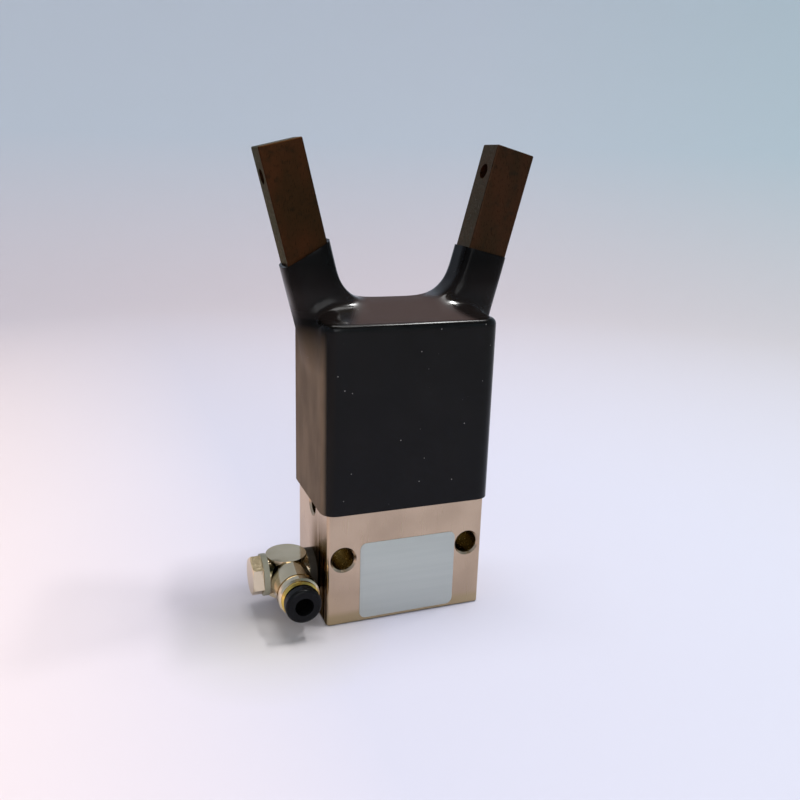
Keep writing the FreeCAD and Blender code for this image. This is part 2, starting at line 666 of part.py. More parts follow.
# Boot: open box over the block with a hipped crown, a leaning sleeve round each finger and a round web
# from the crown's ridge up to each sleeve
def make_boot():
    body = new_body("boot")
    base = "(seat_height + boot_gap)"
    skirt = new_sketch(body, "skirt", "XY_Plane", ("0", "0", base))
    rounded_rectangle(skirt, "(body_width / 2 + boot_proud)", "(body_depth / 2 + boot_proud)", "boot_corner")
    pad(body, skirt, f"{BOOT_TOP} - {base}")
    dress(body, "Fillet", "top_edge", "boot_edge",
          lambda edge: min(vertex.Z for vertex in edge.Vertexes) > value(BOOT_TOP) - 1e-3)
    foot, ridge = hip_outlines(body, "crown", "0")
    crown = body.newObject("PartDesign::AdditiveLoft", "boot_crown")
    crown.Profile = foot
    crown.Sections = [ridge]
    crown.Ruled = True
    doc.recompute()
    for name, side in SIDES.items():
        at_pivot = (f"{side} * pivot_spacing / 2", "0", "pivot_height")
        sleeve = new_sketch(body, f"sleeve_{name}", "XY_Plane", at_pivot, (0, side, 0), "lean")
        rounded_rectangle(sleeve, SLEEVE_X, SLEEVE_Y, "sleeve_corner")
        pad(body, sleeve, "finger_reach - sleeve_bare + sleeve_slant / 2")
        slant = "sleeve_slant" if name == "left" else "0"
        level = "(finger_reach - sleeve_bare)"
        end = new_sketch(body, f"sleeve_end_{name}", "XZ_Plane", (at_pivot[0], at_pivot[2], "0"),
                         (0, 0, -side), "lean")
        outline(end, [
            (f"-2 * {SLEEVE_X}", f"{level} - {slant}"), (f"2 * {SLEEVE_X}", f"{level} + {slant}"),
            (f"2 * {SLEEVE_X}", f"{level} + 2 * sleeve_slant"), (f"-2 * {SLEEVE_X}", f"{level} + 2 * sleeve_slant"),
        ])
        pocket(body, end, "body_depth * 2", both=True)
    corner = f"(pivot_spacing / 2 + ({CROWN_TOP} - pivot_height) * tan(lean) - {SLEEVE_X} / cos(lean))"
    tangent = "(web_radius / tan(45 + lean / 2))"
    start, deep = f"({corner} - {tangent})", f"{BOOT_TOP} - boot_top_wall / 2"
    end_z = f"({CROWN_TOP} + {tangent} * cos(lean))"
    inner = f"({corner} + {SLEEVE_X} / 2)"
    for name, side in SIDES.items():
        web = new_sketch(body, f"web_{name}", "XZ_Plane")
        outline(web, [
            (f"{side} * {start}", deep), (f"{side} * {start}", CROWN_TOP),
            (f"{side} * ({corner} + {tangent} * sin(lean))", end_z),
            (f"{side} * ({inner} + {tangent} * sin(lean))", end_z), (f"{side} * {inner}", deep),
        ], {1: (f"{side} * {start}", f"{CROWN_TOP} + web_radius")})
        pad(body, web, f"2 * ({SLEEVE_Y} - sleeve_corner / 2)", both=True)
    hollow = new_sketch(body, "hollow", "XY_Plane", ("0", "0", base))
    rectangle(hollow, "-(body_width / 2 - seat_step + boot_gap)", "body_width / 2 - seat_step + boot_gap",
              "-(body_depth / 2 - seat_step + boot_gap)", "body_depth / 2 - seat_step + boot_gap")
    pocket(body, hollow, f"{BOOT_TOP} - boot_top_wall - {base}", back=True)
    foot, ridge = hip_outlines(body, "loft", "boot_top_wall")
    cut(body, "PartDesign::SubtractiveLoft", foot, Sections=[ridge], Ruled=True)
    for name, side in SIDES.items():
        at_pivot = (f"{side} * pivot_spacing / 2", "0", "pivot_height")
        tunnel = new_sketch(body, f"tunnel_{name}", "XY_Plane", at_pivot, (0, side, 0), "lean")
        wide, deep_half = "finger_width / 2 + sleeve_gap", "finger_depth / 2 + sleeve_gap"
        rectangle(tunnel, f"-({wide})", wide, f"-({deep_half})", deep_half)
        pocket(body, tunnel, "finger_reach", back=True)
    return body


# Air fitting: hollow bolt and washers on the block's left side, banjo body with its barrel to the front
def on_port(piece, outwards="0"):
    """Lay a piece's own axis along the port, pointing out of the block's left face."""
    place(piece, f"-body_width / 2 - {outwards}", "0", "port_height", (0, -1, 0), "90")
    return piece


def in_barrel(piece):
    """Lay a piece's own axis along the barrel, pointing to the front."""
    place(piece, BARREL_X, "0", "port_height", (1, 0, 0), "90")
    return piece


def make_banjo_bolt():
    seat = f"(washer_thickness + {BANJO_THICKNESS} + head_washer_thickness)"
    shank, waist = "(port_thread / 2 - bolt_clearance)", "(port_thread / 2 - 4 * bolt_clearance)"
    body = turned("banjo_bolt", [
        ("passage / 2", "-bolt_thread_length"), (shank, "-bolt_thread_length"), (shank, "washer_thickness"),
        (waist, "washer_thickness"), (waist, f"washer_thickness + {BANJO_THICKNESS}"),
        (shank, f"washer_thickness + {BANJO_THICKNESS}"), (shank, seat), ("0", seat),
        ("0", f"{BANJO_OFFSET} + passage"), ("passage / 2", f"{BANJO_OFFSET} + passage"),
    ])
    head = new_sketch(body, "head", "XY_Plane", ("0", "0", seat), angle="hex_turn")
    hexagon(head, "hex_flats")
    pad(body, head, "hex_height")
    rim = new_sketch(body, "head_chamfer", "XZ_Plane")
    top = f"({seat} + hex_height)"
    wide = "(hex_flats / 2 / cos(30))"
    outline(rim, [
        ("hex_flats / 2", top), (f"{wide} + edge_chamfer", top),
        (f"{wide} + edge_chamfer", f"{top} - ({wide} + edge_chamfer - hex_flats / 2) / 2"),
    ])
    groove(body, rim)
    cross = new_sketch(body, "cross_hole", "XZ_Plane")
    circles(cross, ("0", BANJO_OFFSET, "passage / 3"))
    pocket(body, cross, "port_thread * 2", both=True)
    return on_port(body)


def make_banjo_washer(name, thickness, outwards):
    inside, outside = "port_thread / 2 + washer_clearance", "washer_diameter / 2"
    body = turned(f"banjo_washer_{name}", [
        (inside, "0"), (outside, "0"), (outside, thickness), (inside, thickness),
    ])
    return on_port(body, outwards)


def make_banjo_body():
    body = new_body("banjo_body")
    post = new_sketch(body, "post", "XY_Plane")
    circles(post, ("0", "0", "banjo_diameter / 2"))
    pad(body, post, "banjo_height", both=True)
    boss = new_sketch(body, "boss", "YZ_Plane")
    circles(boss, ("0", "0", "banjo_boss / 2"))
    pad(body, boss, BANJO_THICKNESS, both=True)
    barrel = new_sketch(body, "barrel", "YZ_Plane")
    radius = "(barrel_diameter / 2)"
    groove_end = "(barrel_length - barrel_lip)"
    groove_start = f"({groove_end} - barrel_groove_width)"
    outline(barrel, [
        ("0", "0"), ("0", radius), (f"-{groove_start}", radius),
        (f"-{groove_start}", f"{radius} - barrel_groove_depth"), (f"-{groove_end}", f"{radius} - barrel_groove_depth"),
        (f"-{groove_end}", radius), ("-(barrel_length - edge_chamfer)", radius),
        ("-barrel_length", f"{radius} - edge_chamfer"), ("-barrel_length", "0"),
    ])
    revolve(body, barrel, "H_Axis")
    socket = new_sketch(body, "tube_socket", "YZ_Plane")
    tube = "(tube_diameter / 2 + tube_clearance)"
    gland = "(tube_stop + tube_socket_length)"
    outline(socket, [
        ("0", "0"), ("0", "passage / 2"), ("-tube_stop", "passage / 2"), ("-tube_stop", tube),
        (f"-{gland}", tube), (f"-{gland}", "cartridge / 2"), ("-barrel_length", "cartridge / 2"),
        ("-barrel_length", "0"),
    ])
    groove(body, socket, "H_Axis")
    way = new_sketch(body, "bolt_hole", "YZ_Plane")
    circles(way, ("0", "0", "port_thread / 2 + bolt_clearance"))
    pocket(body, way, "banjo_diameter * 2", both=True)
    place(body, BARREL_X, "0", "port_height")
    return body


def make_tube_seal():
    middle = "(tube_stop + tube_socket_length + gland_length / 2)"
    ring = seal_ring("tube_seal", "(cartridge / 2 - tube_clearance - tube_seal_cord / 2)", "tube_seal_cord", "0")
    place(ring, BARREL_X, f"-{middle}", "port_height", (1, 0, 0), "90")
    return ring


# Grip collet: thin washer slit from its bore into teeth
def make_grip_collet():
    inside, outside = "(tube_diameter / 2 + tube_clearance)", "(cartridge / 2 - tube_clearance)"
    body = turned("grip_collet", [
        (inside, GRIP_BASE), (outside, GRIP_BASE), (outside, f"{GRIP_BASE} + grip_thickness"),
        (inside, f"{GRIP_BASE} + grip_thickness"),
    ])
    slit = new_sketch(body, "slit", "XY_Plane", ("0", "0", GRIP_BASE))
    rectangle(slit, "0", f"({inside} + {outside}) / 2", "-grip_slot / 2", "grip_slot / 2")
    first = pocket(body, slit, "grip_thickness * 2", both=True)
    teeth = body.newObject("PartDesign::PolarPattern", "grip_collet_teeth")
    teeth.Originals = [first]
    teeth.Axis = (slit, ["N_Axis"])
    teeth.Angle = 360.0
    teeth.setExpression("Occurrences", bound("grip_teeth"))
    body.Tip = teeth
    return in_barrel(body)


def make_collet_ring():
    neck_base = "(barrel_length - ring_neck_length)"
    front = "(barrel_length + ring_flange_thickness)"
    inside, neck = "(button_neck / 2 + 3 * tube_clearance)", "(cartridge / 2 - tube_clearance)"
    body = turned("collet_ring", [
        (inside, neck_base), (neck, neck_base), (neck, "barrel_length"), ("ring_flange / 2", "barrel_length"),
        ("ring_flange / 2", f"{front} - edge_chamfer"), ("ring_flange / 2 - edge_chamfer", front), (inside, front),
    ])
    return in_barrel(body)


def make_release_button():
    inside = "(tube_diameter / 2 + tube_clearance)"
    front = f"({BUTTON_BACK} + button_flange_length)"
    neck_end = f"({BUTTON_BACK} - button_neck_length)"
    body = turned("release_button", [
        (inside, neck_end), ("button_neck / 2", neck_end), ("button_neck / 2", BUTTON_BACK),
        ("button_flange / 2", BUTTON_BACK), ("button_flange / 2", f"{front} - 2 * edge_chamfer"),
        ("button_flange / 2 - 2 * edge_chamfer", front), (inside, front),
    ], {4: ("button_flange / 2 - 2 * edge_chamfer", f"{front} - 2 * edge_chamfer")})
    return in_barrel(body)


pieces = [
    make_housing(), make_end_cap(), make_end_cap_seal(), make_retaining_ring(),
    make_piston(), make_piston_seal(), make_piston_screw(), make_drive_rod(), make_rod_bush(),
    make_return_spring(), make_boot(), make_banjo_bolt(), make_banjo_body(), make_tube_seal(),
    make_grip_collet(), make_collet_ring(), make_release_button(),
    make_banjo_washer("inner", "washer_thickness", "0"),
    make_banjo_washer("outer", "head_washer_thickness", f"(washer_thickness + {BANJO_THICKNESS})"),
]
for name, side in SIDES.items():
    for make in (make_finger, make_finger_bush, make_pivot_pin, make_drive_pin):
        pieces.append(make(name, side))
doc.recompute()

for item in doc.Objects:
    if "Invalid" in item.State or "Error" in item.State:
        raise RuntimeError(f"{item.Name} failed: {item.State}")
for piece in pieces:
    if piece.Shape.isNull() or not piece.Shape.isValid() or len(piece.Shape.Solids) != 1:
        raise RuntimeError(f"{piece.Label} is not one valid solid")

os.makedirs("parts", exist_ok=True)
for piece in pieces:
    piece.Shape.exportStep(f"parts/{piece.Label}.step")
    print(f"{piece.Label}: {piece.Shape.Volume:.1f} mm3")
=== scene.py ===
"""Scene of a two-finger angular gripper: soft boot, bare label, finishes, studio and camera.

Lengths are in metres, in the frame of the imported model: X across the fingers, Y to the back, Z up.
Where a finish or the boot's moulding changes gradually, a pair of numbers holds the start and the end.
"""

import logging
import math
from abc import ABC, abstractmethod
from collections.abc import Callable, Iterator, Sequence
from contextlib import contextmanager
from dataclasses import dataclass
from enum import Enum
from functools import cache
from itertools import pairwise

import bmesh
import bpy
import numpy as np
from mathutils import Euler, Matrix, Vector


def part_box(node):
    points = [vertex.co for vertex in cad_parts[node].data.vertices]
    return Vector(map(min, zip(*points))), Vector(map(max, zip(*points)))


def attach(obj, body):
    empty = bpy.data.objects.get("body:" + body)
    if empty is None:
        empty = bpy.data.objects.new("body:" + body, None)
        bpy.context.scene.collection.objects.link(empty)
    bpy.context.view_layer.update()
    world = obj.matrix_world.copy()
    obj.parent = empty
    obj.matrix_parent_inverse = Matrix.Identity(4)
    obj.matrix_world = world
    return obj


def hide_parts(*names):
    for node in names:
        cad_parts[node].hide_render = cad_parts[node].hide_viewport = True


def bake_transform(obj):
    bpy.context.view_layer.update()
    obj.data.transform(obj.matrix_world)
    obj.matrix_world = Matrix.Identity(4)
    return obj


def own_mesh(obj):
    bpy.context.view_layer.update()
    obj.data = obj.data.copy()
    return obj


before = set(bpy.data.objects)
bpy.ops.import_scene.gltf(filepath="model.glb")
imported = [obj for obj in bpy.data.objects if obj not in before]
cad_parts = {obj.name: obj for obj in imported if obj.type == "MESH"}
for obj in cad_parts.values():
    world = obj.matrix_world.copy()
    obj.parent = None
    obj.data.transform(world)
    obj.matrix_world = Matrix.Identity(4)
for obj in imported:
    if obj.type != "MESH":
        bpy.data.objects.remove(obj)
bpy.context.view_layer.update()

Pair = tuple[float, float]
Triple = tuple[float, float, float]
Colour = Triple
Socket = bpy.types.NodeSocket
Piece = bpy.types.Object
EdgeTest = Callable[[Vector, Vector], bool]

ORIGIN: Triple = (0.0, 0.0, 0.0)
ACROSS: Triple = (1.0, 0.0, 0.0)
BACK: Triple = (0.0, 1.0, 0.0)
UP: Triple = (0.0, 0.0, 1.0)
EVEN: Triple = (1.0, 1.0, 1.0)

log = logging.getLogger("gripper")


class Side(Enum):
    """The two sides of the gripper, with the sign of X on each."""

    LEFT = -1
    RIGHT = 1

    @property
    def word(self) -> str:
        """Name of the side as the model's nodes spell it."""
        return self.name.lower()


class Join(Enum):
    """Ways to join one solid with another."""

    ADD = "UNION"
    TAKE_AWAY = "DIFFERENCE"


class Blend(Enum):
    """Ways to blend a second colour into a first."""

    REPLACE = "MIX"
    TINT = "MULTIPLY"


class Bench:
    """A material's node tree, with short ways to add nodes and join them."""

    fleck_core: float = 0.6
    fleck_step: float = 0.01
    grain_detail: float = 2.0
    grain_range: Pair = (0.3, 0.7)

    def __init__(self, name: str) -> None:
        """Start a material that holds its surface shader.

        Args:
            name: Name of the material.
        """
        self.material = bpy.data.materials.new(name)
        self.material.use_nodes = True
        self.nodes = self.material.node_tree.nodes
        self.links = self.material.node_tree.links
        self.shader = self.nodes["Principled BSDF"]
        self.place = self.nodes.new("ShaderNodeTexCoord").outputs["Object"]

    def fixed(self, **values: float | Colour) -> None:
        """Set values and colours that are the same all over the surface.

        Args:
            values: Socket names of the shader, with an underscore for each space.
        """
        for name, value in values.items():
            plain = (*value, 1.0) if isinstance(value, tuple) else value
            self.shader.inputs[name.replace("_", " ")].default_value = plain

    def join(self, source: Socket, name: str) -> None:
        """Join a socket to the shader's input of this name."""
        self.links.new(source, self.shader.inputs[name])

    def moved(self, stretch: Triple, shift: Triple = ORIGIN) -> Socket:
        """Stretch and shift the surface's coordinates.

        Args:
            stretch: Factor on each axis.
            shift: Shift along each axis.

        Returns:
            The changed coordinates.
        """
        mapping = self.nodes.new("ShaderNodeMapping")
        mapping.inputs["Location"].default_value = shift
        mapping.inputs["Scale"].default_value = stretch
        self.links.new(self.place, mapping.inputs["Vector"])
        return mapping.outputs["Vector"]

    def away(self, stretch: Triple = EVEN, point: Triple = ORIGIN) -> Socket:
        """Measure how far the surface is from a point.

        Args:
            stretch: Factor on each axis before measuring, so that an axis can be left out.
            point: The point, by default the origin.

        Returns:
            The distance in metres.
        """
        node = self.nodes.new("ShaderNodeVectorMath")
        node.operation = "LENGTH"
        shift = tuple(-factor * value for factor, value in zip(stretch, point))
        self.links.new(self.moved(stretch, shift), node.inputs[0])
        return node.outputs["Value"]

    def pin_to(self, name: str) -> None:
        """Take the coordinates from a stored attribute, so that they stay when the piece bends.

        Args:
            name: Name of the attribute.
        """
        node = self.nodes.new("ShaderNodeAttribute")
        node.attribute_name = name
        self.place = node.outputs["Vector"]

    def folded(self, direction: Triple) -> Socket:
        """Measure along a direction, with both sides of each axis alike.

        Args:
            direction: Factor on the distance from each axis' middle plane.

        Returns:
            The measure in metres.
        """
        fold = self.nodes.new("ShaderNodeVectorMath")
        fold.operation = "ABSOLUTE"
        self.links.new(self.place, fold.inputs[0])
        return self.towards(direction, fold.outputs["Vector"])

    def towards(self, direction: Triple, place: Socket | None = None) -> Socket:
        """Measure along a direction from the origin.

        Args:
            direction: Factor on each axis.
            place: Coordinates to use in place of the plain ones.

        Returns:
            The measure in metres.
        """
        measure = self.nodes.new("ShaderNodeVectorMath")
        measure.operation = "DOT_PRODUCT"
        measure.inputs[1].default_value = direction
        self.links.new(place or self.place, measure.inputs[0])
        return measure.outputs["Value"]

    def combined(self, operation: str, *values: Socket) -> Socket:
        """Combine values one after the other.

        Args:
            operation: What the math node does with two of them.
            values: Two values or more.

        Returns:
            The result.
        """
        result = values[0]
        for value in values[1:]:
            node = self.nodes.new("ShaderNodeMath")
            node.operation = operation
            self.links.new(result, node.inputs[0])
            self.links.new(value, node.inputs[1])
            result = node.outputs["Value"]
        return result

    def times(self, *factors: Socket) -> Socket:
        """Multiply two values or more."""
        return self.combined("MULTIPLY", *factors)

    def larger(self, first: Socket, second: Socket) -> Socket:
        """Give the larger of two values."""
        return self.combined("MAXIMUM", first, second)

    def noise(self, scale: float, detail: float = 3.0, place: Socket | None = None) -> Socket:
        """Add a cloudy pattern.

        Args:
            scale: Patches per metre.
            detail: Octaves of finer detail.
            place: Coordinates to use in place of the plain ones.

        Returns:
            The pattern's value, from 0 to 1.
        """
        texture = self.nodes.new("ShaderNodeTexNoise")
        texture.inputs["Scale"].default_value = scale
        texture.inputs["Detail"].default_value = detail
        self.links.new(place or self.place, texture.inputs["Vector"])
        return texture.outputs["Fac"]

    def flecks(self, scale: float, radius: float, share: float) -> Socket:
        """Scatter small round spots.

        Args:
            scale: Cells per metre; each cell holds one spot at most.
            radius: Radius of a spot, as a share of a cell.
            share: Share of the cells that hold a spot.

        Returns:
            A mask that is 1 on the spots.
        """
        texture = self.nodes.new("ShaderNodeTexVoronoi")
        texture.inputs["Scale"].default_value = scale
        self.links.new(self.place, texture.inputs["Vector"])
        spot = self.falling(texture.outputs["Distance"], (radius * self.fleck_core, radius))
        limit = 1.0 - share
        chosen = self.rising(texture.outputs["Color"], (limit, limit + self.fleck_step))
        return self.times(spot, chosen)

    def between(self, value: Socket, low: float, high: float, start: float = 0.0,
                end: float = 1.0) -> Socket:
        """Map a value from start and end to low and high, clamped.

        Args:
            value: Socket to map.
            low: Result at start.
            high: Result at end.
            start: Value that gives low.
            end: Value that gives high.

        Returns:
            The mapped value.
        """
        node = self.nodes.new("ShaderNodeMapRange")
        for name, number in (("From Min", start), ("From Max", end), ("To Min", low), ("To Max", high)):
            node.inputs[name].default_value = number
        self.links.new(value, node.inputs["Value"])
        return node.outputs["Result"]

    def rising(self, value: Socket, span: Pair) -> Socket:
        """Rise from 0 at the start of a span of the value to 1 at its end."""
        return self.between(value, 0.0, 1.0, *span)

    def falling(self, value: Socket, span: Pair) -> Socket:
        """Fall from 1 at the start of a span of the value to 0 at its end."""
        return self.between(value, 1.0, 0.0, *span)

    def blended(self, share: Socket, first: Colour | Socket, second: Colour | Socket,
                how: Blend = Blend.REPLACE) -> Socket:
        """Blend two colours.

        Args:
            share: Share of the second colour.
            first: Colour where the share is 0.
            second: Colour where the share is 1.
            how: Whether the second colour replaces the first or tints it.

        Returns:
            The blended colour.
        """
        node = self.nodes.new("ShaderNodeMix")
        node.data_type = "RGBA"
        node.blend_type = how.value
        self.links.new(share, node.inputs["Factor"])
        for socket, colour in ((node.inputs[6], first), (node.inputs[7], second)):
            if isinstance(colour, tuple):
                socket.default_value = (*colour, 1.0)
            else:
                self.links.new(colour, socket)
        return node.outputs[2]

    def layered(self, ground: Colour | Socket, *layers: tuple[Socket, Colour]) -> Socket:
        """Lay colours over a ground, one after the other.

        Args:
            ground: Colour at the bottom.
            layers: Share and colour of each layer.

        Returns:
            The colour on top.
        """
        for share, colour in layers:
            ground = self.blended(share, ground, colour)
        return ground

    def relief(self, height: Socket, depth: float, strength: float = 1.0) -> None:
        """Give the surface a relief.

        Args:
            height: Height pattern, from 0 to 1.
            depth: Height of the relief in metres.
            strength: Share of the relief that is used.
        """
        node = self.nodes.new("ShaderNodeBump")
        node.inputs["Distance"].default_value = depth
        node.inputs["Strength"].default_value = strength
        self.links.new(height, node.inputs["Height"])
        self.join(node.outputs["Normal"], "Normal")

    def grain(self, scale: float, stretch: Triple, roughness: Pair, depth: float) -> None:
        """Give the surface a fine grain, in its gloss and as a relief.

        Args:
            scale: Grains per metre.
            stretch: Factor on each axis.
            roughness: Roughness in the low and in the high parts of the grain.
            depth: Height of the relief in metres.
        """
        fine = self.noise(scale, self.grain_detail, self.moved(stretch))
        self.join(self.between(fine, *roughness, *self.grain_range), "Roughness")
        self.relief(fine, depth)


@dataclass(frozen=True)
class Finish(ABC):
    """Finish of a surface."""

    name: str

    @abstractmethod
    def paint(self, bench: Bench) -> None:
        """Join the finish's colours and patterns to a material's shader."""

    @cache
    def build(self) -> bpy.types.Material:
        """Make the material, once for all the pieces that share it.

        Returns:
            The material.
        """
        bench = Bench(self.name)
        self.paint(bench)
        return bench.material


@dataclass(frozen=True)
class PlatedMetal(Finish):
    """Bare or plated metal with a fine machined grain and faint stains."""

    colour: Colour
    stain: Colour
    roughness: Pair
    grain: Triple = EVEN
    grain_scale: float = 2500.0
    grain_depth: float = 2e-6
    stain_scale: float = 90.0
    stain_from: Pair = (0.42, 0.7)
    sheen: Colour = (1.0, 0.92, 0.84)

    def plate(self, bench: Bench) -> Socket:
        """Give the metal's colour with its stains.

        Args:
            bench: Material that is being made.

        Returns:
            The colour.
        """
        stains = bench.rising(bench.noise(self.stain_scale, detail=5.0), self.stain_from)
        return bench.blended(stains, self.colour, self.stain)

    def paint(self, bench: Bench) -> None:
        """Paint the metal with its grain.

        Args:
            bench: Material that is being made.
        """
        bench.fixed(Metallic=1.0, Specular_Tint=self.sheen)
        bench.join(self.plate(bench), "Base Color")
        bench.grain(self.grain_scale, self.grain, self.roughness, self.grain_depth)


@dataclass(frozen=True)
class UsedPlate(PlatedMetal):
    """Plate of a used block, with painted shade in its holes, painted shade and reflection at its foot and
    by the air port.
    """

    # Painted shade inside the holes and bores, inward of these distances from the middle planes
    core: Pair = (0.0181, 0.0119)
    core_edge: float = 2e-4
    hole_shade_colour: Colour = (0.36, 0.29, 0.13)
    # Painted shade and painted reflection of the floor: a darker band along the foot
    foot_shade: Pair = (0.0021, 0.0034)
    foot_shade_share: float = 0.85
    foot_shade_colour: Colour = (0.42, 0.33, 0.19)
    # Painted contact shadow: a dark line along the bottom edge, in the painted shade colour
    rim: Pair = (0.00015, 0.0004)
    contact_shadow_share: float = 0.95
    # Painted reflection and shadow of the fitting on the left face beside the air port, in vertical streaks
    streak_scale: float = 700.0
    streak_stretch: Triple = (1.0, 1.0, 0.06)
    streak_share: Pair = (0.4, 1.0)
    streak_from: Pair = (0.35, 0.6)
    painted_shade: Colour = (0.06, 0.04, 0.018)
    painted_shade_sheen: Colour = (0.18, 0.13, 0.08)
    painted_shade_side: Pair = (-0.0187, -0.0186)
    painted_shade_across: Pair = (-0.006, 0.003)
    painted_shade_high: Pair = (0.015, 0.0265)

    def plate(self, bench: Bench) -> Socket:
        """Give the plate's colour with its painted shade and reflections, and dull its sheen beside the air
        port.

        Args:
            bench: Material that is being made.

        Returns:
            The colour.
        """
        height = bench.towards(UP)
        # Painted shade and reflection of the floor along the foot
        foot_shade = bench.between(height, self.foot_shade_share, 0.0, *self.foot_shade)
        # Painted contact shadow along the bottom edge
        rim = bench.between(height, self.contact_shadow_share, 0.0, *self.rim)
        # Painted reflection and shadow of the fitting beside the air port, which also dulls the sheen there
        streaks = bench.noise(self.streak_scale, detail=4.0, place=bench.moved(self.streak_stretch))
        painted_shade_mask = bench.times(bench.between(streaks, *self.streak_share, *self.streak_from),
                            bench.falling(bench.towards(ACROSS), self.painted_shade_side),
                            bench.falling(bench.towards(BACK), self.painted_shade_across),
                            bench.falling(height, self.painted_shade_high))
        bench.join(bench.blended(painted_shade_mask, self.sheen, self.painted_shade_sheen), "Specular Tint")
        # Painted shade inside the holes, where shade falls
        inside = bench.times(*(bench.falling(bench.folded(axis), (limit, limit + self.core_edge))
                               for axis, limit in zip((ACROSS, BACK), self.core)))
        return bench.layered(super().plate(bench), (foot_shade, self.foot_shade_colour), (painted_shade_mask, self.painted_shade),
                             (rim, self.painted_shade), (inside, self.hole_shade_colour))


@dataclass(frozen=True)
class UsedFitting(PlatedMetal):
    """Plate of a used fitting, with painted shade in the hollow between its post and its barrel."""

    # Painted shade in the hollow between the post and the barrel, where shade falls
    hollow: Triple = (-0.0284, -0.0038, 0.0115)
    hollow_size: Pair = (0.0012, 0.0026)
    painted_shade: Colour = (0.05, 0.042, 0.02)
    painted_shade_sheen: Colour = (0.2, 0.17, 0.1)

    def plate(self, bench: Bench) -> Socket:
        """Give the plate's colour with the painted shade, and dull its sheen there.

        Args:
            bench: Material that is being made.

        Returns:
            The colour.
        """
        # Painted shade in the hollow
        painted_shade_mask = bench.falling(bench.away(point=self.hollow), self.hollow_size)
        bench.join(bench.blended(painted_shade_mask, self.sheen, self.painted_shade_sheen), "Specular Tint")
        return bench.blended(painted_shade_mask, super().plate(bench), self.painted_shade)


@dataclass(frozen=True)
class OxideSteel(Finish):
    """Steel with a brown oxide coat, mottled with rust and dark spots."""

    colour: Colour
    rust: Colour
    dark: Colour
    roughness: Pair = (0.24, 0.4)
    metallic: float = 0.4
    shine: float = 0.2
    sheen: Colour = (0.8, 0.72, 0.47)
    patch_scale: float = 200.0
    patch_stretch: Triple = (1.0, 1.0, 0.3)
    patch_from: Pair = (0.35, 0.68)
    spot_scale: float = 620.0
    spot_share: float = 0.75
    spot_from: Pair = (0.55, 0.75)
    grain: Triple = (1.0, 1.0, 0.25)
    grain_scale: float = 4200.0
    grain_depth: float = 4e-6

    def paint(self, bench: Bench) -> None:
        """Paint the mottled coat.

        Args:
            bench: Material that is being made.
        """
        bench.fixed(Metallic=self.metallic, Specular_IOR_Level=self.shine, Specular_Tint=self.sheen)
        patches = bench.noise(self.patch_scale, detail=4.0, place=bench.moved(self.patch_stretch))
        spots = bench.between(bench.noise(self.spot_scale), 0.0, self.spot_share, *self.spot_from)
        coat = bench.layered(self.colour, (bench.rising(patches, self.patch_from), self.rust),
                             (spots, self.dark))
        bench.join(coat, "Base Color")
        bench.grain(self.grain_scale, self.grain, self.roughness, self.grain_depth)


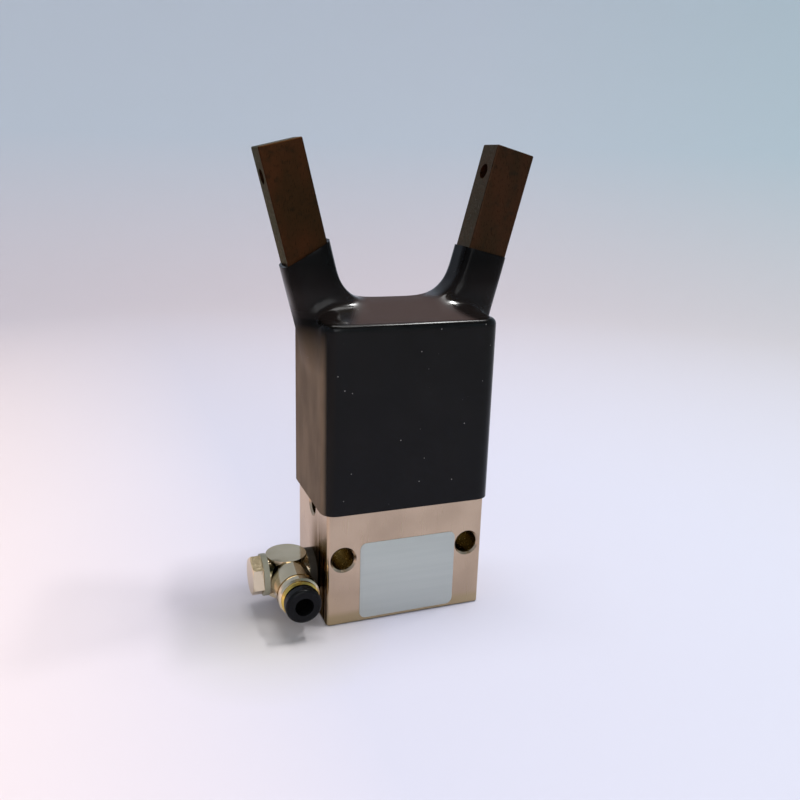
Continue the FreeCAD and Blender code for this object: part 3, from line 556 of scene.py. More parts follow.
@dataclass(frozen=True)
class MouldedRubber(Finish):
    """Black moulded rubber: satin, smeared, flecked with dust, brown on top and ends with dust and painted
    sheen.
    """

    colour: Colour
    smear: Colour
    dust: Colour
    film: Colour
    end_dust_and_sheen: Colour
    coordinates: str = "moulded_place"
    # Smears and dust
    smear_scale: float = 130.0
    smear_from: Pair = (0.45, 0.75)
    fleck: Triple = (400.0, 0.06, 0.6)
    # Film on the top, between the sleeves: dust and painted sheen
    film_low: Pair = (0.0687, 0.069)
    film_high: Pair = (0.0735, 0.08)
    film_across: Pair = (0.006, 0.009)
    film_slant: Triple = (1.0, -0.5, 0.0)
    film_edge_share: float = 0.1
    # Cloudy film on the two ends, dust and painted sheen, fainter on the right
    film_ends: Pair = (0.019, 0.0197)
    film_ends_high: Pair = (0.058, 0.0675)
    right_sheen_share: float = 0.5
    right_from: Pair = (-0.005, 0.005)
    cloud_scale: float = 190.0
    cloud_stretch: Triple = (1.0, 1.0, 0.4)
    cloud_share: Pair = (0.7, 1.0)
    cloud_from: Pair = (0.35, 0.65)
    dull_ends_high: Pair = (0.066, 0.074)
    # Gloss of the skin, of the film, of the sleeves and of their roots
    roughness: Pair = (0.14, 0.26)
    film_roughness: float = 0.6
    shine: float = 0.16
    film_shine: float = 0.03
    sleeve_shine: float = 0.4
    sleeve_from: Pair = (0.0725, 0.076)
    root_low: Pair = (0.0695, 0.0705)
    root_high: Pair = (0.0724, 0.0736)
    root_inner: Pair = (0.0075, 0.009)
    root_outer: Pair = (0.0118, 0.0128)
    root_shine: float = 2.5
    root_smoothness: float = 0.5
    # Uneven skin
    skin_scale: float = 260.0
    skin_depth: float = 3e-5
    skin_strength: float = 0.6

    def paint(self, bench: Bench) -> None:
        """Paint the rubber with its dust and its film of dust and painted sheen: dull under the film,
        glossy at the sleeves' roots.

        Args:
            bench: Material that is being made.
        """
        bench.pin_to(self.coordinates)
        bench.fixed(Specular_IOR_Level=self.shine)
        height = bench.towards(UP)
        across = bench.folded(ACROSS)
        smears = bench.rising(bench.noise(self.smear_scale, detail=5.0), self.smear_from)
        slanted = bench.between(bench.folded(self.film_slant), 1.0, self.film_edge_share, *self.film_across)
        # Brown film on the top: partly dust, partly painted sheen
        top = bench.times(bench.rising(height, self.film_low),
                          bench.falling(height, self.film_high), slanted)
        clouds = bench.noise(self.cloud_scale, detail=5.0, place=bench.moved(self.cloud_stretch))
        # Film on the ends: partly dust, partly painted sheen, fainter on the right and darker at the
        # corners
        ends = bench.rising(across, self.film_ends)
        ends_dust_and_sheen = bench.times(ends, bench.between(clouds, *self.cloud_share, *self.cloud_from),
                           bench.falling(height, self.film_ends_high),
                           bench.between(bench.towards(ACROSS), 1.0, self.right_sheen_share, *self.right_from))
        skin = bench.layered(self.colour, (smears, self.smear), (top, self.film), (ends_dust_and_sheen, self.end_dust_and_sheen),
                             (bench.flecks(*self.fleck), self.dust))
        bench.join(skin, "Base Color")
        filmed = bench.larger(top, bench.times(ends, bench.falling(height, self.dull_ends_high)))
        roots = bench.times(bench.rising(height, self.root_low), bench.falling(height, self.root_high),
                            bench.rising(across, self.root_inner), bench.falling(across, self.root_outer))
        level = bench.times(bench.between(height, 1.0, self.sleeve_shine, *self.sleeve_from),
                            bench.between(filmed, self.shine, self.film_shine),
                            bench.between(roots, 1.0, self.root_shine))
        bench.join(level, "Specular IOR Level")
        gloss = bench.times(bench.between(smears, *self.roughness),
                            bench.between(roots, 1.0, self.root_smoothness))
        bench.join(bench.larger(gloss, bench.between(filmed, 0.0, self.film_roughness)), "Roughness")
        bench.relief(bench.noise(self.skin_scale, detail=2.0), self.skin_depth, self.skin_strength)


@dataclass(frozen=True)
class MouldedPlastic(Finish):
    """Moulded plastic or soft seal material with a fine even texture."""

    colour: Colour
    shade: Colour
    roughness: Pair
    shine: float = 0.3
    cloud_scale: float = 500.0
    grain_scale: float = 6000.0
    grain_depth: float = 4e-6

    def paint(self, bench: Bench) -> None:
        """Paint the material with faint clouds.

        Args:
            bench: Material that is being made.
        """
        bench.fixed(Specular_IOR_Level=self.shine)
        clouds = bench.noise(self.cloud_scale, detail=4.0)
        bench.join(bench.blended(clouds, self.colour, self.shade), "Base Color")
        bench.grain(self.grain_scale, EVEN, self.roughness, self.grain_depth)


@dataclass(frozen=True)
class LabelFilm(Finish):
    """Silver-grey film of a bare label, with faint streaks along it."""

    colour: Colour
    streak: Colour
    metallic: float = 0.25
    roughness: Pair = (0.36, 0.5)
    streak_scale: float = 900.0
    streak_stretch: Triple = (0.05, 1.0, 1.0)
    wave_scale: float = 220.0
    wave_depth: float = 1.5e-5
    wave_strength: float = 0.5

    def paint(self, bench: Bench) -> None:
        """Paint the film with its streaks and slight waves.

        Args:
            bench: Material that is being made.
        """
        bench.fixed(Metallic=self.metallic)
        streaks = bench.noise(self.streak_scale, place=bench.moved(self.streak_stretch))
        bench.join(bench.blended(streaks, self.colour, self.streak), "Base Color")
        waves = bench.noise(self.wave_scale)
        bench.join(bench.between(waves, *self.roughness), "Roughness")
        bench.relief(waves, self.wave_depth, self.wave_strength)


@dataclass(frozen=True)
class PaleSweep(Finish):
    """Matt paper of the floor and its raised rim, tinted softly sideways and outwards, with painted shade
    and shadow.
    """

    near: Colour
    left: Colour
    far: Colour
    # Painted shade: the rim darker and bluer higher up
    high: Colour
    # Painted shadow: a warmer tint round shade_middle, where the fitting's shadow falls
    shaded: Colour
    cool: Colour
    roughness: float = 0.9
    shine: float = 0.1
    left_from: Pair = (-0.11, -0.02)
    shade_middle: Triple = (-0.031, -0.012, 0.0)
    shade_size: Pair = (0.006, 0.026)
    far_way: Triple = (1.0, 1.0, 0.0)
    far_from: Pair = (0.1, 0.4)
    high_from: Pair = (0.0, 0.12)
    cool_way: Triple = (1.0, -0.5, 0.0)
    cool_from: Pair = (0.0, 0.34)

    def paint(self, bench: Bench) -> None:
        """Paint the paper with its changes of tint, its painted shade and its painted shadow, one over the
        other.

        Args:
            bench: Material that is being made.
        """
        bench.fixed(Roughness=self.roughness, Specular_IOR_Level=self.shine)
        sideways = bench.falling(bench.towards(ACROSS), self.left_from)
        # Painted shadow tint under the fitting
        shade = bench.falling(bench.away(point=self.shade_middle), self.shade_size)
        outwards = bench.rising(bench.away(self.far_way), self.far_from)
        # Painted shade higher up the rim
        upper_shade = bench.rising(bench.towards(UP), self.high_from)
        tint = bench.layered(self.near, (sideways, self.left), (shade, self.shaded),
                             (outwards, self.far), (upper_shade, self.high))
        cooler = bench.rising(bench.towards(self.cool_way), self.cool_from)
        bench.join(bench.blended(cooler, tint, self.cool, Blend.TINT), "Base Color")


NICKEL_BLOCK = UsedPlate("satin_nickel", (0.535, 0.405, 0.285), (0.44, 0.33, 0.23), (0.17, 0.28),
                         (1.0, 1.0, 0.05), grain_depth=4e-6)
NICKEL_FITTING = UsedFitting("bright_nickel", (0.74, 0.63, 0.45), (0.6, 0.5, 0.34), (0.07, 0.15),
                             grain_depth=2e-7)
PLAIN_ALUMINIUM = PlatedMetal("turned_aluminium", (0.62, 0.63, 0.64), (0.5, 0.51, 0.53), (0.25, 0.38),
                              (0.1, 0.1, 1.0))
GROUND_STEEL = PlatedMetal("ground_steel", (0.5, 0.5, 0.5), (0.4, 0.4, 0.41), (0.2, 0.32))
SPRING_STEEL = PlatedMetal("oiled_wire", (0.2, 0.2, 0.21), (0.13, 0.12, 0.12), (0.28, 0.4))
BRONZE = PlatedMetal("sintered_bronze", (0.5, 0.31, 0.12), (0.36, 0.2, 0.07), (0.3, 0.45))
BRASS = PlatedMetal("polished_brass", (0.74, 0.52, 0.13), (0.6, 0.38, 0.09), (0.1, 0.18))
FINGER_OXIDE = OxideSteel("brown_oxide", (0.02, 0.0095, 0.004), (0.036, 0.012, 0.005),
                          (0.009, 0.006, 0.0035))
# Painted shade: a copy of the brown oxide for the left finger, with less sheen so its outer face renders
# darker
SHADED_OXIDE = OxideSteel("shaded_oxide", (0.026, 0.0125, 0.0055), (0.046, 0.0155, 0.0065),
                        (0.012, 0.008, 0.0045), metallic=0.65, shine=0.06, sheen=(0.36, 0.37, 0.05))
BOOT_RUBBER = MouldedRubber("moulded_rubber", (0.002, 0.0018, 0.0017), (0.004, 0.0035, 0.0032),
                            (0.24, 0.23, 0.215), (0.06, 0.042, 0.039), (0.23, 0.16, 0.105))
SEAL_RUBBER = MouldedPlastic("soft_seal", (0.012, 0.012, 0.012), (0.02, 0.02, 0.02), (0.5, 0.65))
WASHER_GREY = MouldedPlastic("grey_washer", (0.37, 0.355, 0.27), (0.3, 0.29, 0.22), (0.42, 0.58))
# Painted shade: the inner washer is the grey washer made dark for the shade it sits in
WASHER_SHADED = MouldedPlastic("shaded_washer", (0.03, 0.024, 0.017), (0.05, 0.04, 0.03), (0.42, 0.58), 0.2)
BUTTON_BLACK = MouldedPlastic("black_plastic", (0.004, 0.004, 0.0045), (0.007, 0.007, 0.0075),
                              (0.2, 0.3), 0.1)
LABEL_SILVER = LabelFilm("label_silver", (0.48, 0.5, 0.47), (0.42, 0.44, 0.42))
FLOOR_PAPER = PaleSweep("floor_paper", (0.69, 0.67, 0.78), (0.98, 0.82, 0.81), (0.71, 0.635, 0.68),
                        (0.577, 0.629, 0.71), (0.69, 0.65, 0.655), (0.9, 0.985, 0.96))


def alone(piece: Piece) -> None:
    """Select one piece and nothing else.

    Args:
        piece: Piece to select.
    """
    bpy.ops.object.select_all(action="DESELECT")
    piece.select_set(True)
    bpy.context.view_layer.objects.active = piece


def dress(piece: Piece, finish: Finish) -> None:
    """Put a finish on every material slot of a piece.

    Args:
        piece: Piece to dress.
        finish: Finish to put on it.
    """
    material = finish.build()
    if not piece.material_slots:
        piece.data.materials.append(material)
    for slot in piece.material_slots:
        slot.material = material


def dress_nodes(finishes: dict[str, Finish]) -> list[Piece]:
    """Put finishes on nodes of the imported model.

    Args:
        finishes: Finish of each node.

    Returns:
        The nodes' objects.
    """
    for node, finish in finishes.items():
        dress(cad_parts[node], finish)
    return [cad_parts[node] for node in finishes]


@contextmanager
def editing(piece: Piece) -> Iterator[bmesh.types.BMesh]:
    """Open a piece in edit mode with nothing selected, and close it afterwards.

    Args:
        piece: Piece to edit.

    Yields:
        The piece's mesh as it is being edited.
    """
    alone(piece)
    bpy.ops.object.mode_set(mode="EDIT")
    bpy.ops.mesh.select_mode(type="EDGE")
    bpy.ops.mesh.select_all(action="DESELECT")
    yield bmesh.from_edit_mesh(piece.data)
    bpy.ops.object.mode_set(mode="OBJECT")


def settle(piece: Piece) -> Piece:
    """Move a piece's place, turn and scale into its mesh.

    Args:
        piece: Piece to settle.

    Returns:
        The same piece.
    """
    alone(piece)
    bpy.ops.object.transform_apply(location=True, rotation=True, scale=True)
    return piece


def add_block(name: str, size: Sequence[float], centre: Sequence[float]) -> Piece:
    """Add a rectangular block.

    Args:
        name: Name of the piece.
        size: Length along each axis.
        centre: Middle of the block.

    Returns:
        The new block.
    """
    bpy.ops.mesh.primitive_cube_add(size=1.0, location=centre, scale=size)
    piece = bpy.context.active_object
    piece.name = name
    return settle(piece)


def round_edges(piece: Piece, chosen: EdgeTest, radius: float, segments: int) -> None:
    """Round the edges of a piece that a test chooses.

    Args:
        piece: Piece to work on.
        chosen: Test that takes the two ends of an edge.
        radius: Radius of the rounding.
        segments: Faces across the rounding.
    """
    with editing(piece) as mesh:
        for edge in mesh.edges:
            edge.select_set(chosen(edge.verts[0].co, edge.verts[1].co))
        bmesh.update_edit_mesh(piece.data)
        bpy.ops.mesh.bevel(offset=radius, segments=segments, affect="EDGES")


def apply_modifier(piece: Piece, kind: str, **settings: object) -> None:
    """Add a modifier to a piece and apply it.

    Args:
        piece: Piece to change.
        kind: Kind of the modifier.
        settings: Values of the modifier's properties.
    """
    alone(piece)
    modifier = piece.modifiers.new(kind.lower(), kind)
    for name, value in settings.items():
        setattr(modifier, name, value)
    bpy.ops.object.modifier_apply(modifier=modifier.name)


def join_solids(piece: Piece, other: Piece, how: Join) -> None:
    """Join another solid to a piece, or take it away, and delete the other.

    Args:
        piece: Piece to change.
        other: Solid to add or take away.
        how: Which of the two to do.
    """
    apply_modifier(piece, "BOOLEAN", operation=how.value, object=other, solver="EXACT")
    bpy.data.objects.remove(other)


def trim(piece: Piece, point: Sequence[float], normal: Sequence[float]) -> None:
    """Cut away everything in front of a plane and leave the cut open.

    Args:
        piece: Piece to cut.
        point: A point on the plane.
        normal: Direction of the side that goes.
    """
    with editing(piece):
        bpy.ops.mesh.select_all(action="SELECT")
        bpy.ops.mesh.bisect(plane_co=point, plane_no=normal, clear_outer=True)


def smooth_step(values: np.ndarray, start: float, end: float) -> np.ndarray:
    """Rise smoothly from 0 at start to 1 at end."""
    share = np.clip((values - start) / (end - start), 0.0, 1.0)
    return share * share * (3.0 - 2.0 * share)


def points_of(piece: Piece) -> np.ndarray:
    """Read the points of a piece's mesh.

    Args:
        piece: Piece to read.

    Returns:
        Rows of X, Y and Z.
    """
    flat = np.zeros(len(piece.data.vertices) * 3)
    piece.data.vertices.foreach_get("co", flat)
    return flat.reshape(-1, 3)


def weigh(piece: Piece, name: str, weights: np.ndarray) -> None:
    """Store weights as a vertex group.

    Args:
        piece: Piece to weigh.
        name: Name of the group.
        weights: One weight for each point.
    """
    group = piece.vertex_groups.new(name=name)
    for index, weight in enumerate(weights):
        group.add([index], float(weight), "REPLACE")


@dataclass
class Block:
    """Plated block with its cylinder's closing pieces and a bare label on the front."""

    label_low: Pair = (-0.0111, 0.0009)
    label_high: Pair = (0.01185, 0.0194)
    label_corner: float = 0.0015
    label_thickness: float = 0.00012
    label_edge: float = 0.00004
    label_steps: tuple[int, int] = (10, 2)
    smooth_angle: float = math.radians(40)

    def make_label(self) -> Piece:
        """Make the bare label, a thin film with round corners on the block's front.

        Returns:
            The label.
        """
        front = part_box("housing")[0].y
        width, height = (high - low for low, high in zip(self.label_low, self.label_high))
        middle = [(low + high) / 2 for low, high in zip(self.label_low, self.label_high)]
        centre = (middle[0], front - self.label_thickness / 2, middle[1])
        label = add_block("bare_label", (width, self.label_thickness, height), centre)
        corner_steps, edge_steps = self.label_steps
        round_edges(label, lambda a, b: abs(a.y - b.y) > self.label_thickness / 2, self.label_corner,
                    corner_steps)
        limit = front - self.label_thickness / 2
        round_edges(label, lambda a, b: a.y < limit and b.y < limit, self.label_edge, edge_steps)
        alone(label)
        bpy.ops.object.shade_smooth_by_angle(angle=self.smooth_angle)
        dress(label, LABEL_SILVER)
        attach(label, "housing")
        return label

    def build(self) -> list[Piece]:
        """Dress the block's nodes and make its label.

        Returns:
            The pieces that were made or dressed.
        """
        finishes = {"housing": NICKEL_BLOCK, "end_cap": NICKEL_BLOCK, "end_cap_seal": SEAL_RUBBER,
                    "retaining_ring": SPRING_STEEL}
        return [*dress_nodes(finishes), self.make_label()]


@dataclass
class Drive:
    """Piston, cam rod and return spring inside the block."""

    coil_diameter: float = 0.0148
    wire: float = 0.0012
    turns: int = 4
    stroke: float = 0.004
    steps: int = 28
    sides: int = 12

    def make_spring(self) -> Piece:
        """Wind the return spring.

        Returns:
            The spring.
        """
        low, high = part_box("return_spring")
        start = low.z + self.wire / 2
        rise = high.z - low.z - self.wire
        bpy.ops.mesh.primitive_circle_add(vertices=self.sides, radius=self.wire / 2,
                                          location=(self.coil_diameter / 2, 0.0, start),
                                          rotation=(math.pi / 2, 0.0, 0.0))
        spring = settle(bpy.context.active_object)
        spring.name = "coil_spring"
        apply_modifier(spring, "SCREW", angle=2 * math.pi, screw_offset=rise / self.turns,
                       iterations=self.turns, steps=self.steps, render_steps=self.steps,
                       use_smooth_shade=True)
        with editing(spring):
            bpy.ops.mesh.select_non_manifold()
            bpy.ops.mesh.fill_holes(sides=self.sides)
            bpy.ops.mesh.select_all(action="SELECT")
            bpy.ops.mesh.normals_make_consistent(inside=False)
        dress(spring, SPRING_STEEL)
        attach(spring, "housing")
        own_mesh(spring)
        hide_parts("return_spring")
        return spring

    def build(self) -> list[Piece]:
        """Dress the drive's nodes and wind its spring.

        Returns:
            The pieces that were made or dressed.
        """
        finishes = {"piston": PLAIN_ALUMINIUM, "piston_seal": SEAL_RUBBER, "piston_screw": GROUND_STEEL,
                    "drive_rod": GROUND_STEEL, "rod_bush": BRONZE}
        return [*dress_nodes(finishes), self.make_spring()]


@dataclass
class Fingers:
    """Bar fingers with their bushes and pins."""

    def build(self) -> list[Piece]:
        """Dress both fingers and their pins.

        Returns:
            The pieces that were dressed.
        """
        # The left finger wears the shaded copy of the oxide
        finishes: dict[str, Finish] = {"finger_left": SHADED_OXIDE, "finger_right": FINGER_OXIDE}
        for side in Side:
            finishes[f"finger_bush_{side.word}"] = BRONZE
            finishes[f"pivot_pin_{side.word}"] = GROUND_STEEL
            finishes[f"drive_pin_{side.word}"] = GROUND_STEEL
        return dress_nodes(finishes)


@dataclass
class AirFitting:
    """Banjo elbow with its hollow bolt, washers and push-in tube release."""

    def build(self) -> list[Piece]:
        """Dress the fitting's nodes.

        Returns:
            The pieces that were dressed.
        """
        # The inner washer wears the painted-shade copy of the washer
        return dress_nodes({
            "banjo_bolt": NICKEL_FITTING, "banjo_body": NICKEL_FITTING, "banjo_washer_inner": WASHER_SHADED,
            "banjo_washer_outer": WASHER_GREY, "collet_ring": BRASS, "release_button": BUTTON_BLACK,
            "tube_seal": SEAL_RUBBER, "grip_collet": SPRING_STEEL,
        })


@dataclass
class Boot:
    """Moulded rubber cover, in two halves that meet on the middle plane."""

    # Box and its crown
    half_width: float = 0.0199
    half_depth: float = 0.01365
    low: float = 0.0271
    top: float = 0.069
    corner: float = 0.0032
    corner_steps: int = 8
    top_edge: float = 0.0013
    top_edge_steps: int = 6
    crown_foot: Pair = (0.0186, 0.0105)
    ridge: Pair = (0.0145, 0.0035)
    ridge_top: float = 0.072
    # Sleeves, and the webs between them and the crown
    pivot_x: float = 0.01304
    pivot_z: float = 0.052
    lean: float = math.radians(14.2)
    sleeve_half: Pair = (0.005575, 0.00455)
    sleeve_corner: float = 0.0012
    sleeve_corner_steps: int = 5
    sleeve_reach: float = 0.03105
    slant: float = 0.0033
    web_radius: float = 0.008
    web_sides: int = 160
    # Moulding: extra length before the cuts, grid of the skin, and where it is softened
    spare: float = 0.003
    voxel: float = 0.00045
    crown_inset: Pair = (-0.00286, -0.00156)
    crown_skin: Pair = (0.0008, 0.0016)
    fillet: Pair = (0.00192, 0.00416)
    inner_rounding: Pair = (0.0013, 0.0026)
    sleeve_straight: Pair = (-0.007, -0.003)
    flank_fillet: Pair = (0.00275, 0.0055)
    flank_low: Pair = (0.054, 0.057)
    flank_inset: Pair = (-0.002, -0.0005)
    skin_passes: int = 4
    soft_passes: int = 130
    flank_passes: int = 90
    # Wall, thinner in the sleeves
    wall: float = 0.0014
    sleeve_wall_share: float = 0.45
    sleeve_wall_from: Pair = (0.006, 0.016)
    smooth_angle: float = math.radians(50)
    cut_slack: float = 0.00012
    # Share of the bend near each sleeve, worked out but not stored
    bend_low: float = 0.058
    bend_high: float = 0.070
    bend_across: float = 0.0045
    bend_inwards: float = 0.0095

    def in_sleeve(self, points: np.ndarray, side: Side) -> tuple[np.ndarray, np.ndarray]:
        """Give points in a sleeve's own directions.

        Args:
            points: Rows of X, Y and Z.
            side: Side of the sleeve.

        Returns:
            Distance from the sleeve's middle towards the other finger, and along it from the pivot.
        """
        across = points[:, 0] - side.value * self.pivot_x
        up = points[:, 2] - self.pivot_z
        along = across * side.value * math.sin(self.lean) + up * math.cos(self.lean)
        inwards = -side.value * across * math.cos(self.lean) + up * math.sin(self.lean)
        return inwards, along

    def sleeve_end(self, side: Side) -> tuple[Triple, Triple]:
        """Give the plane of a sleeve's open end, which is slanted on the left.

        Args:
            side: Side of the sleeve.

        Returns:
            A point on the plane, and the direction in which the sleeve ends.
        """
        slant = math.atan2(self.slant, 2 * self.sleeve_half[0]) if side is Side.LEFT else 0.0
        tilt = self.lean + slant
        point = (side.value * (self.pivot_x + self.sleeve_reach * math.sin(self.lean)), 0.0,
                 self.pivot_z + self.sleeve_reach * math.cos(self.lean))
        return point, (side.value * math.sin(tilt), 0.0, math.cos(tilt))

    def make_sleeve(self, side: Side) -> Piece:
        """Make one leaning sleeve as a solid bar, longer than the sleeve by the spare length.

        Args:
            side: Side of the sleeve.

        Returns:
            The bar.
        """
        half_x, half_y = self.sleeve_half
        length = self.sleeve_reach + self.spare
        bar = add_block("sleeve", (2 * half_x, 2 * half_y, length), (0.0, 0.0, length / 2))
        round_edges(bar, lambda a, b: abs(a.z - b.z) > length / 2, self.sleeve_corner,
                    self.sleeve_corner_steps)
        bar.rotation_euler = (0.0, side.value * self.lean, 0.0)
        bar.location = (side.value * self.pivot_x, 0.0, self.pivot_z)
        return settle(bar)

    def make_crown(self) -> Piece:
        """Make the hipped crown of the top, sunk a little into the box.

        Returns:
            The crown.
        """
        foot_x, foot_y = self.crown_foot
        centre = (0.0, 0.0, self.top - self.spare / 2)
        crown = add_block("crown", (2 * foot_x, 2 * foot_y, self.spare), centre)
        with editing(crown) as mesh:
            bpy.ops.mesh.select_mode(type="FACE")
            for face in mesh.faces:
                face.select_set(face.normal.z > 0.9)
            bmesh.update_edit_mesh(crown.data)
            rise = self.ridge_top - self.top
            bpy.ops.mesh.extrude_region_move(TRANSFORM_OT_translate={"value": (0.0, 0.0, rise)})
            shrink = (self.ridge[0] / foot_x, self.ridge[1] / foot_y, 1.0)
            bpy.ops.transform.resize(value=shrink, center_override=(0.0, 0.0, self.ridge_top))
        return crown

    def make_web(self, side: Side) -> Piece:
        """Make the hollow-cornered web between a sleeve and the crown's ridge.

        Args:
            side: Side of the sleeve.

        Returns:
            The web.
        """
        half_x, half_y = self.sleeve_half
        rise = self.ridge_top - self.pivot_z
        root = self.pivot_x + rise * math.tan(self.lean) - half_x / math.cos(self.lean)
        tangent = self.web_radius / math.tan(math.pi / 4 + self.lean / 2)
        start = root - tangent
        end = root + half_x
        low = self.top - self.top_edge
        high = self.ridge_top + tangent * math.cos(self.lean)
        size = (end - start, 2 * half_y, high - low)
        web = add_block("web", size, (side.value * (start + end) / 2, 0.0, (low + high) / 2))
        centre = (side.value * start, 0.0, self.ridge_top + self.web_radius)
        bpy.ops.mesh.primitive_cylinder_add(vertices=self.web_sides, radius=self.web_radius,
                                            depth=4 * half_y, location=centre,
                                            rotation=(math.pi / 2, 0.0, 0.0))
        roller = settle(bpy.context.active_object)
        join_solids(web, roller, Join.TAKE_AWAY)
        return web

    def above_top(self, points: np.ndarray) -> np.ndarray:
        """Measure how far points are outside the box and its crown.

        Args:
            points: Rows of X, Y and Z.

        Returns:
            Distances in metres, negative inside.
        """
        beside = np.abs(points[:, :2])
        height = points[:, 2]
        box = np.maximum((beside - (self.half_width, self.half_depth)).max(axis=1), height - self.top)
        rise = self.ridge_top - self.top
        run = np.subtract(self.crown_foot, self.ridge)
        slopes = (beside - self.crown_foot) * rise + (height - self.top)[:, None] * run
        crown = np.maximum((slopes / np.hypot(rise, run)).max(axis=1), height - self.ridge_top)
        return np.minimum(box, crown)

    def soft_weights(self, points: np.ndarray) -> np.ndarray:
        """Weigh points by how soft the moulding is there.

        Args:
            points: Rows of X, Y and Z.

        Returns:
            1 on the crown and in the creases round the sleeves, 0 away from them.
        """
        from_top = np.abs(self.above_top(points))
        inset = np.max(np.abs(points[:, :2]) - (self.half_width, self.half_depth), axis=1)
        weights = 1.0 - smooth_step(inset, *self.crown_inset)
        on_crown = 1.0 - smooth_step(from_top, *self.crown_skin)
        weights *= np.where(points[:, 2] > self.top - self.top_edge, on_crown, 0.0)
        for side in Side:
            inwards, along = self.in_sleeve(points, side)
            edge = np.abs(np.stack([inwards, points[:, 1]], axis=1)) - self.sleeve_half
            near = np.maximum(from_top, np.abs(edge.max(axis=1)))
            weight = 1.0 - smooth_step(near, *self.fillet)
            weights = np.maximum(weights, np.where(along > 0.0, weight, 0.0))
            beside = np.hypot(np.maximum(self.sleeve_half[0] - inwards, 0.0), edge[:, 1])
            rounded = 1.0 - smooth_step(beside, *self.inner_rounding)
            rounded *= 1.0 - smooth_step(along - self.sleeve_reach, *self.sleeve_straight)
            weights = np.maximum(weights, np.where(points[:, 2] > self.top, rounded, 0.0))
        return weights

    def flank_weights(self, points: np.ndarray) -> np.ndarray:
        """Weigh points on the outer sides, where the sleeves grow out of the box with long soft creases.

        Args:
            points: Rows of X, Y and Z.

        Returns:
            1 near the creases on the outer sides, 0 away from them.
        """
        outer = smooth_step(np.abs(points[:, 0]) - self.half_width, *self.flank_inset)
        beside = np.abs(np.abs(points[:, 1]) - self.sleeve_half[1])
        near = 1.0 - smooth_step(beside, *self.flank_fillet)
        return outer * near * smooth_step(points[:, 2], *self.flank_low)

    def make_skin(self) -> Piece:
        """Make the whole outer skin, open at the bottom and at the sleeves' ends.

        Returns:
            The skin.
        """
        low = self.low - self.spare
        middle = (self.top + low) / 2
        size = (2 * self.half_width, 2 * self.half_depth, self.top - low)
        skin = add_block("boot", size, (0.0, 0.0, middle))
        round_edges(skin, lambda a, b: abs(a.z - b.z) > size[2] / 2, self.corner, self.corner_steps)
        round_edges(skin, lambda a, b: a.z > middle and b.z > middle, self.top_edge, self.top_edge_steps)
        join_solids(skin, self.make_crown(), Join.ADD)
        for side in Side:
            join_solids(skin, self.make_sleeve(side), Join.ADD)
            join_solids(skin, self.make_web(side), Join.ADD)
        apply_modifier(skin, "REMESH", mode="VOXEL", voxel_size=self.voxel)
        apply_modifier(skin, "SMOOTH", iterations=self.skin_passes)
        weigh(skin, "soft", self.soft_weights(points_of(skin)))
        apply_modifier(skin, "SMOOTH", iterations=self.soft_passes, vertex_group="soft")
        weigh(skin, "flank", self.flank_weights(points_of(skin)))
        apply_modifier(skin, "SMOOTH", iterations=self.flank_passes, vertex_group="flank")
        trim(skin, (0.0, 0.0, self.low), (0.0, 0.0, -1.0))
        for side in Side:
            trim(skin, *self.sleeve_end(side))
        return skin

    def make_half(self, skin: Piece, side: Side) -> Piece:
        """Cut one half out of the skin and give it its wall.

        Args:
            skin: The whole skin, which is left as it is.
            side: Side of the half.

        Returns:
            The half.
        """
        half = skin.copy()
        half.data = skin.data.copy()
        half.name = f"boot_{side.word}"
        bpy.context.scene.collection.objects.link(half)
        trim(half, ORIGIN, (-side.value, 0.0, 0.0))
        along = self.in_sleeve(points_of(half), side)[1]
        thin = smooth_step(along, *self.sleeve_wall_from) * (1.0 - self.sleeve_wall_share)
        half.vertex_groups.clear()
        weigh(half, "wall", 1.0 - thin)
        with editing(half) as mesh:
            rim = np.array([point.index for point in mesh.verts if point.is_boundary])
        apply_modifier(half, "SOLIDIFY", thickness=self.wall, offset=-1.0, vertex_group="wall",
                       use_quality_normals=True)
        half.vertex_groups.clear()
        self.flatten_rim(half, rim, side)
        alone(half)
        bpy.ops.object.shade_smooth_by_angle(angle=self.smooth_angle)
        moulded = half.data.attributes.new(BOOT_RUBBER.coordinates, "FLOAT_VECTOR", "POINT")
        moulded.data.foreach_set("vector", points_of(half).ravel())
        dress(half, BOOT_RUBBER)
        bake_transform(half)
        self.set_bend(half, side)
        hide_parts("boot")
        return half

    def flatten_rim(self, half: Piece, rim: np.ndarray, side: Side) -> None:
        """Lay the outer and inner points of a half's cut edges exactly on the planes of the cuts.

        Args:
            half: Half of the boot with its wall; its inner points follow its outer points.
            rim: Indices of the outer points on the cut edges.
            side: Side of the half.
        """
        points = points_of(half)
        for place, normal in ((ORIGIN, ACROSS), ((0.0, 0.0, self.low), UP), self.sleeve_end(side)):
            outer = rim[np.abs((points[rim] - place) @ normal) < self.cut_slack]
            cut = np.concatenate([outer, outer + len(points) // 2])
            points[cut] -= ((points[cut] - place) @ normal)[:, None] * np.array(normal)
        half.data.vertices.foreach_set("co", points.ravel())
        half.data.update()

    def set_bend(self, half: Piece, side: Side) -> None:
        """Work out shares of the bend kept near the sleeve, so that the box and the middle plane would stay
        still; they are not stored.

        Args:
            half: Half of the boot.
            side: Side of the half.
        """
        points = points_of(half)
        inwards = self.in_sleeve(points, side)[0]
        beside = np.abs(points[:, 1]) - self.sleeve_half[1]
        share = smooth_step(points[:, 2], self.bend_low, self.bend_high)
        share *= 1.0 - smooth_step(beside, 0.0, self.bend_across)
        share *= 1.0 - smooth_step(inwards - self.sleeve_half[0], 0.0, self.bend_inwards)

    def build(self) -> list[Piece]:
        """Make both halves of the boot.

        Returns:
            The two halves.
        """
        skin = self.make_skin()
        halves = [self.make_half(skin, side) for side in Side]
        bpy.data.objects.remove(skin)
        return halves


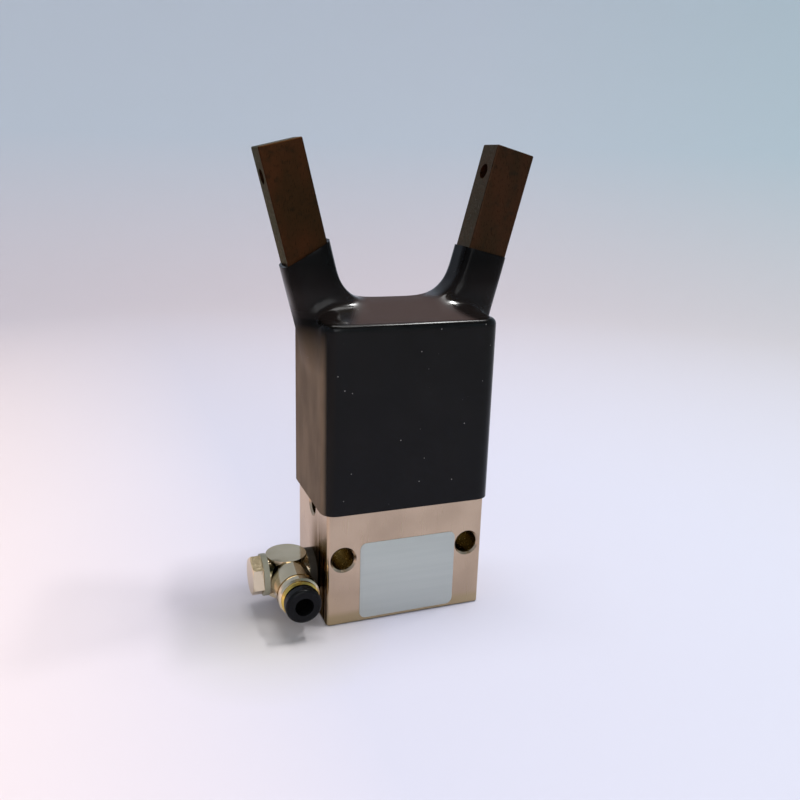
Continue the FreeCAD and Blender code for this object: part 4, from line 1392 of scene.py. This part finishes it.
@dataclass(frozen=True)
class Lamp:
    """Soft rectangular lamp: where it hangs, the width and height of its face, and its power in watts."""

    name: str
    place: Triple
    size: Pair
    watts: float


@dataclass
class Studio:
    """Pale paper floor with a raised rim, soft lamps and the camera."""

    floor_radius: float = 0.42
    floor_sides: int = 96
    sweep_radius: float = 0.4
    wall_height: float = 0.9
    sweep_steps: int = 12
    camera_place: Triple = (-0.064636, -0.17101, 0.100963)
    camera_turn: Triple = (73.9421, -1.6993, -20.8314)
    lens: float = 37.1745
    sensor: float = 36.0
    clip: Pair = (0.005, 10.0)
    lamp_aim: Triple = (0.0, 0.0, 0.05)
    lamps: tuple[Lamp, ...] = (
        Lamp("softbox", (0.04, 0.08, 0.9), (0.42, 0.32), 3.3),
        Lamp("front_fill", (-0.075, -0.56, 0.275), (0.375, 0.3), 0.9),
        Lamp("top_strip", (0.28, -0.06, 0.72), (0.24, 0.05), 2.6),
    )
    ambient: Colour = (1.0, 0.94, 0.76)
    ambient_strength: float = 0.24

    def make_floor(self) -> None:
        """Make the floor, a wide dish that rises all round."""
        rings = [(self.floor_radius + self.sweep_radius * math.sin(angle),
                  self.sweep_radius * (1.0 - math.cos(angle)))
                 for angle in np.linspace(0.0, math.pi / 2, self.sweep_steps + 1)]
        rings.append((self.floor_radius + self.sweep_radius, self.sweep_radius + self.wall_height))
        bpy.ops.mesh.primitive_circle_add(vertices=self.floor_sides, radius=self.floor_radius,
                                          fill_type="NGON")
        floor = settle(bpy.context.active_object)
        floor.name = "floor"
        with editing(floor):
            bpy.ops.mesh.select_non_manifold()
            for (radius, height), (next_radius, next_height) in pairwise(rings):
                rise = (0.0, 0.0, next_height - height)
                bpy.ops.mesh.extrude_edges_move(TRANSFORM_OT_translate={"value": rise})
                grow = next_radius / radius
                bpy.ops.transform.resize(value=(grow, grow, 1.0), center_override=ORIGIN)
        alone(floor)
        bpy.ops.object.shade_smooth()
        dress(floor, FLOOR_PAPER)

    def add_lamp(self, lamp: Lamp) -> None:
        """Hang a lamp and aim it at the object.

        Args:
            lamp: Lamp to hang.
        """
        light = bpy.data.lights.new(lamp.name, "AREA")
        light.shape = "RECTANGLE"
        light.size, light.size_y = lamp.size
        light.energy = lamp.watts
        holder = bpy.data.objects.new(lamp.name, light)
        holder.location = lamp.place
        aim = Vector(self.lamp_aim) - Vector(lamp.place)
        holder.rotation_euler = aim.to_track_quat("-Z", "Y").to_euler()
        bpy.context.scene.collection.objects.link(holder)

    def add_world(self) -> None:
        """Fill the room with even light."""
        world = bpy.data.worlds.new("room")
        world.use_nodes = True
        backdrop = world.node_tree.nodes["Background"]
        backdrop.inputs["Color"].default_value = (*self.ambient, 1.0)
        backdrop.inputs["Strength"].default_value = self.ambient_strength
        bpy.context.scene.world = world

    def add_camera(self) -> None:
        """Set the camera at the photograph's place and angle."""
        data = bpy.data.cameras.new("photo_camera")
        data.sensor_width = self.sensor
        data.lens = self.lens
        data.clip_start, data.clip_end = self.clip
        camera = bpy.data.objects.new("photo_camera", data)
        camera.location = self.camera_place
        camera.rotation_euler = Euler([math.radians(angle) for angle in self.camera_turn], "XYZ")
        bpy.context.scene.collection.objects.link(camera)
        bpy.context.scene.camera = camera

    def build(self) -> None:
        """Set up the floor, the light and the camera."""
        self.make_floor()
        self.add_world()
        for lamp in self.lamps:
            self.add_lamp(lamp)
        self.add_camera()
        bpy.context.scene.view_settings.view_transform = "Standard"


def main() -> None:
    """Build each sub-assembly in order and report its pieces."""
    logging.basicConfig(level=logging.INFO, format="%(name)s: %(message)s")
    for assembly in (Block(), Drive(), Fingers(), AirFitting(), Boot()):
        for piece in assembly.build():
            log.info("%s: %s, %d faces", type(assembly).__name__, piece.name, len(piece.data.polygons))
    Studio().build()


if __name__ == "__main__":
    main()
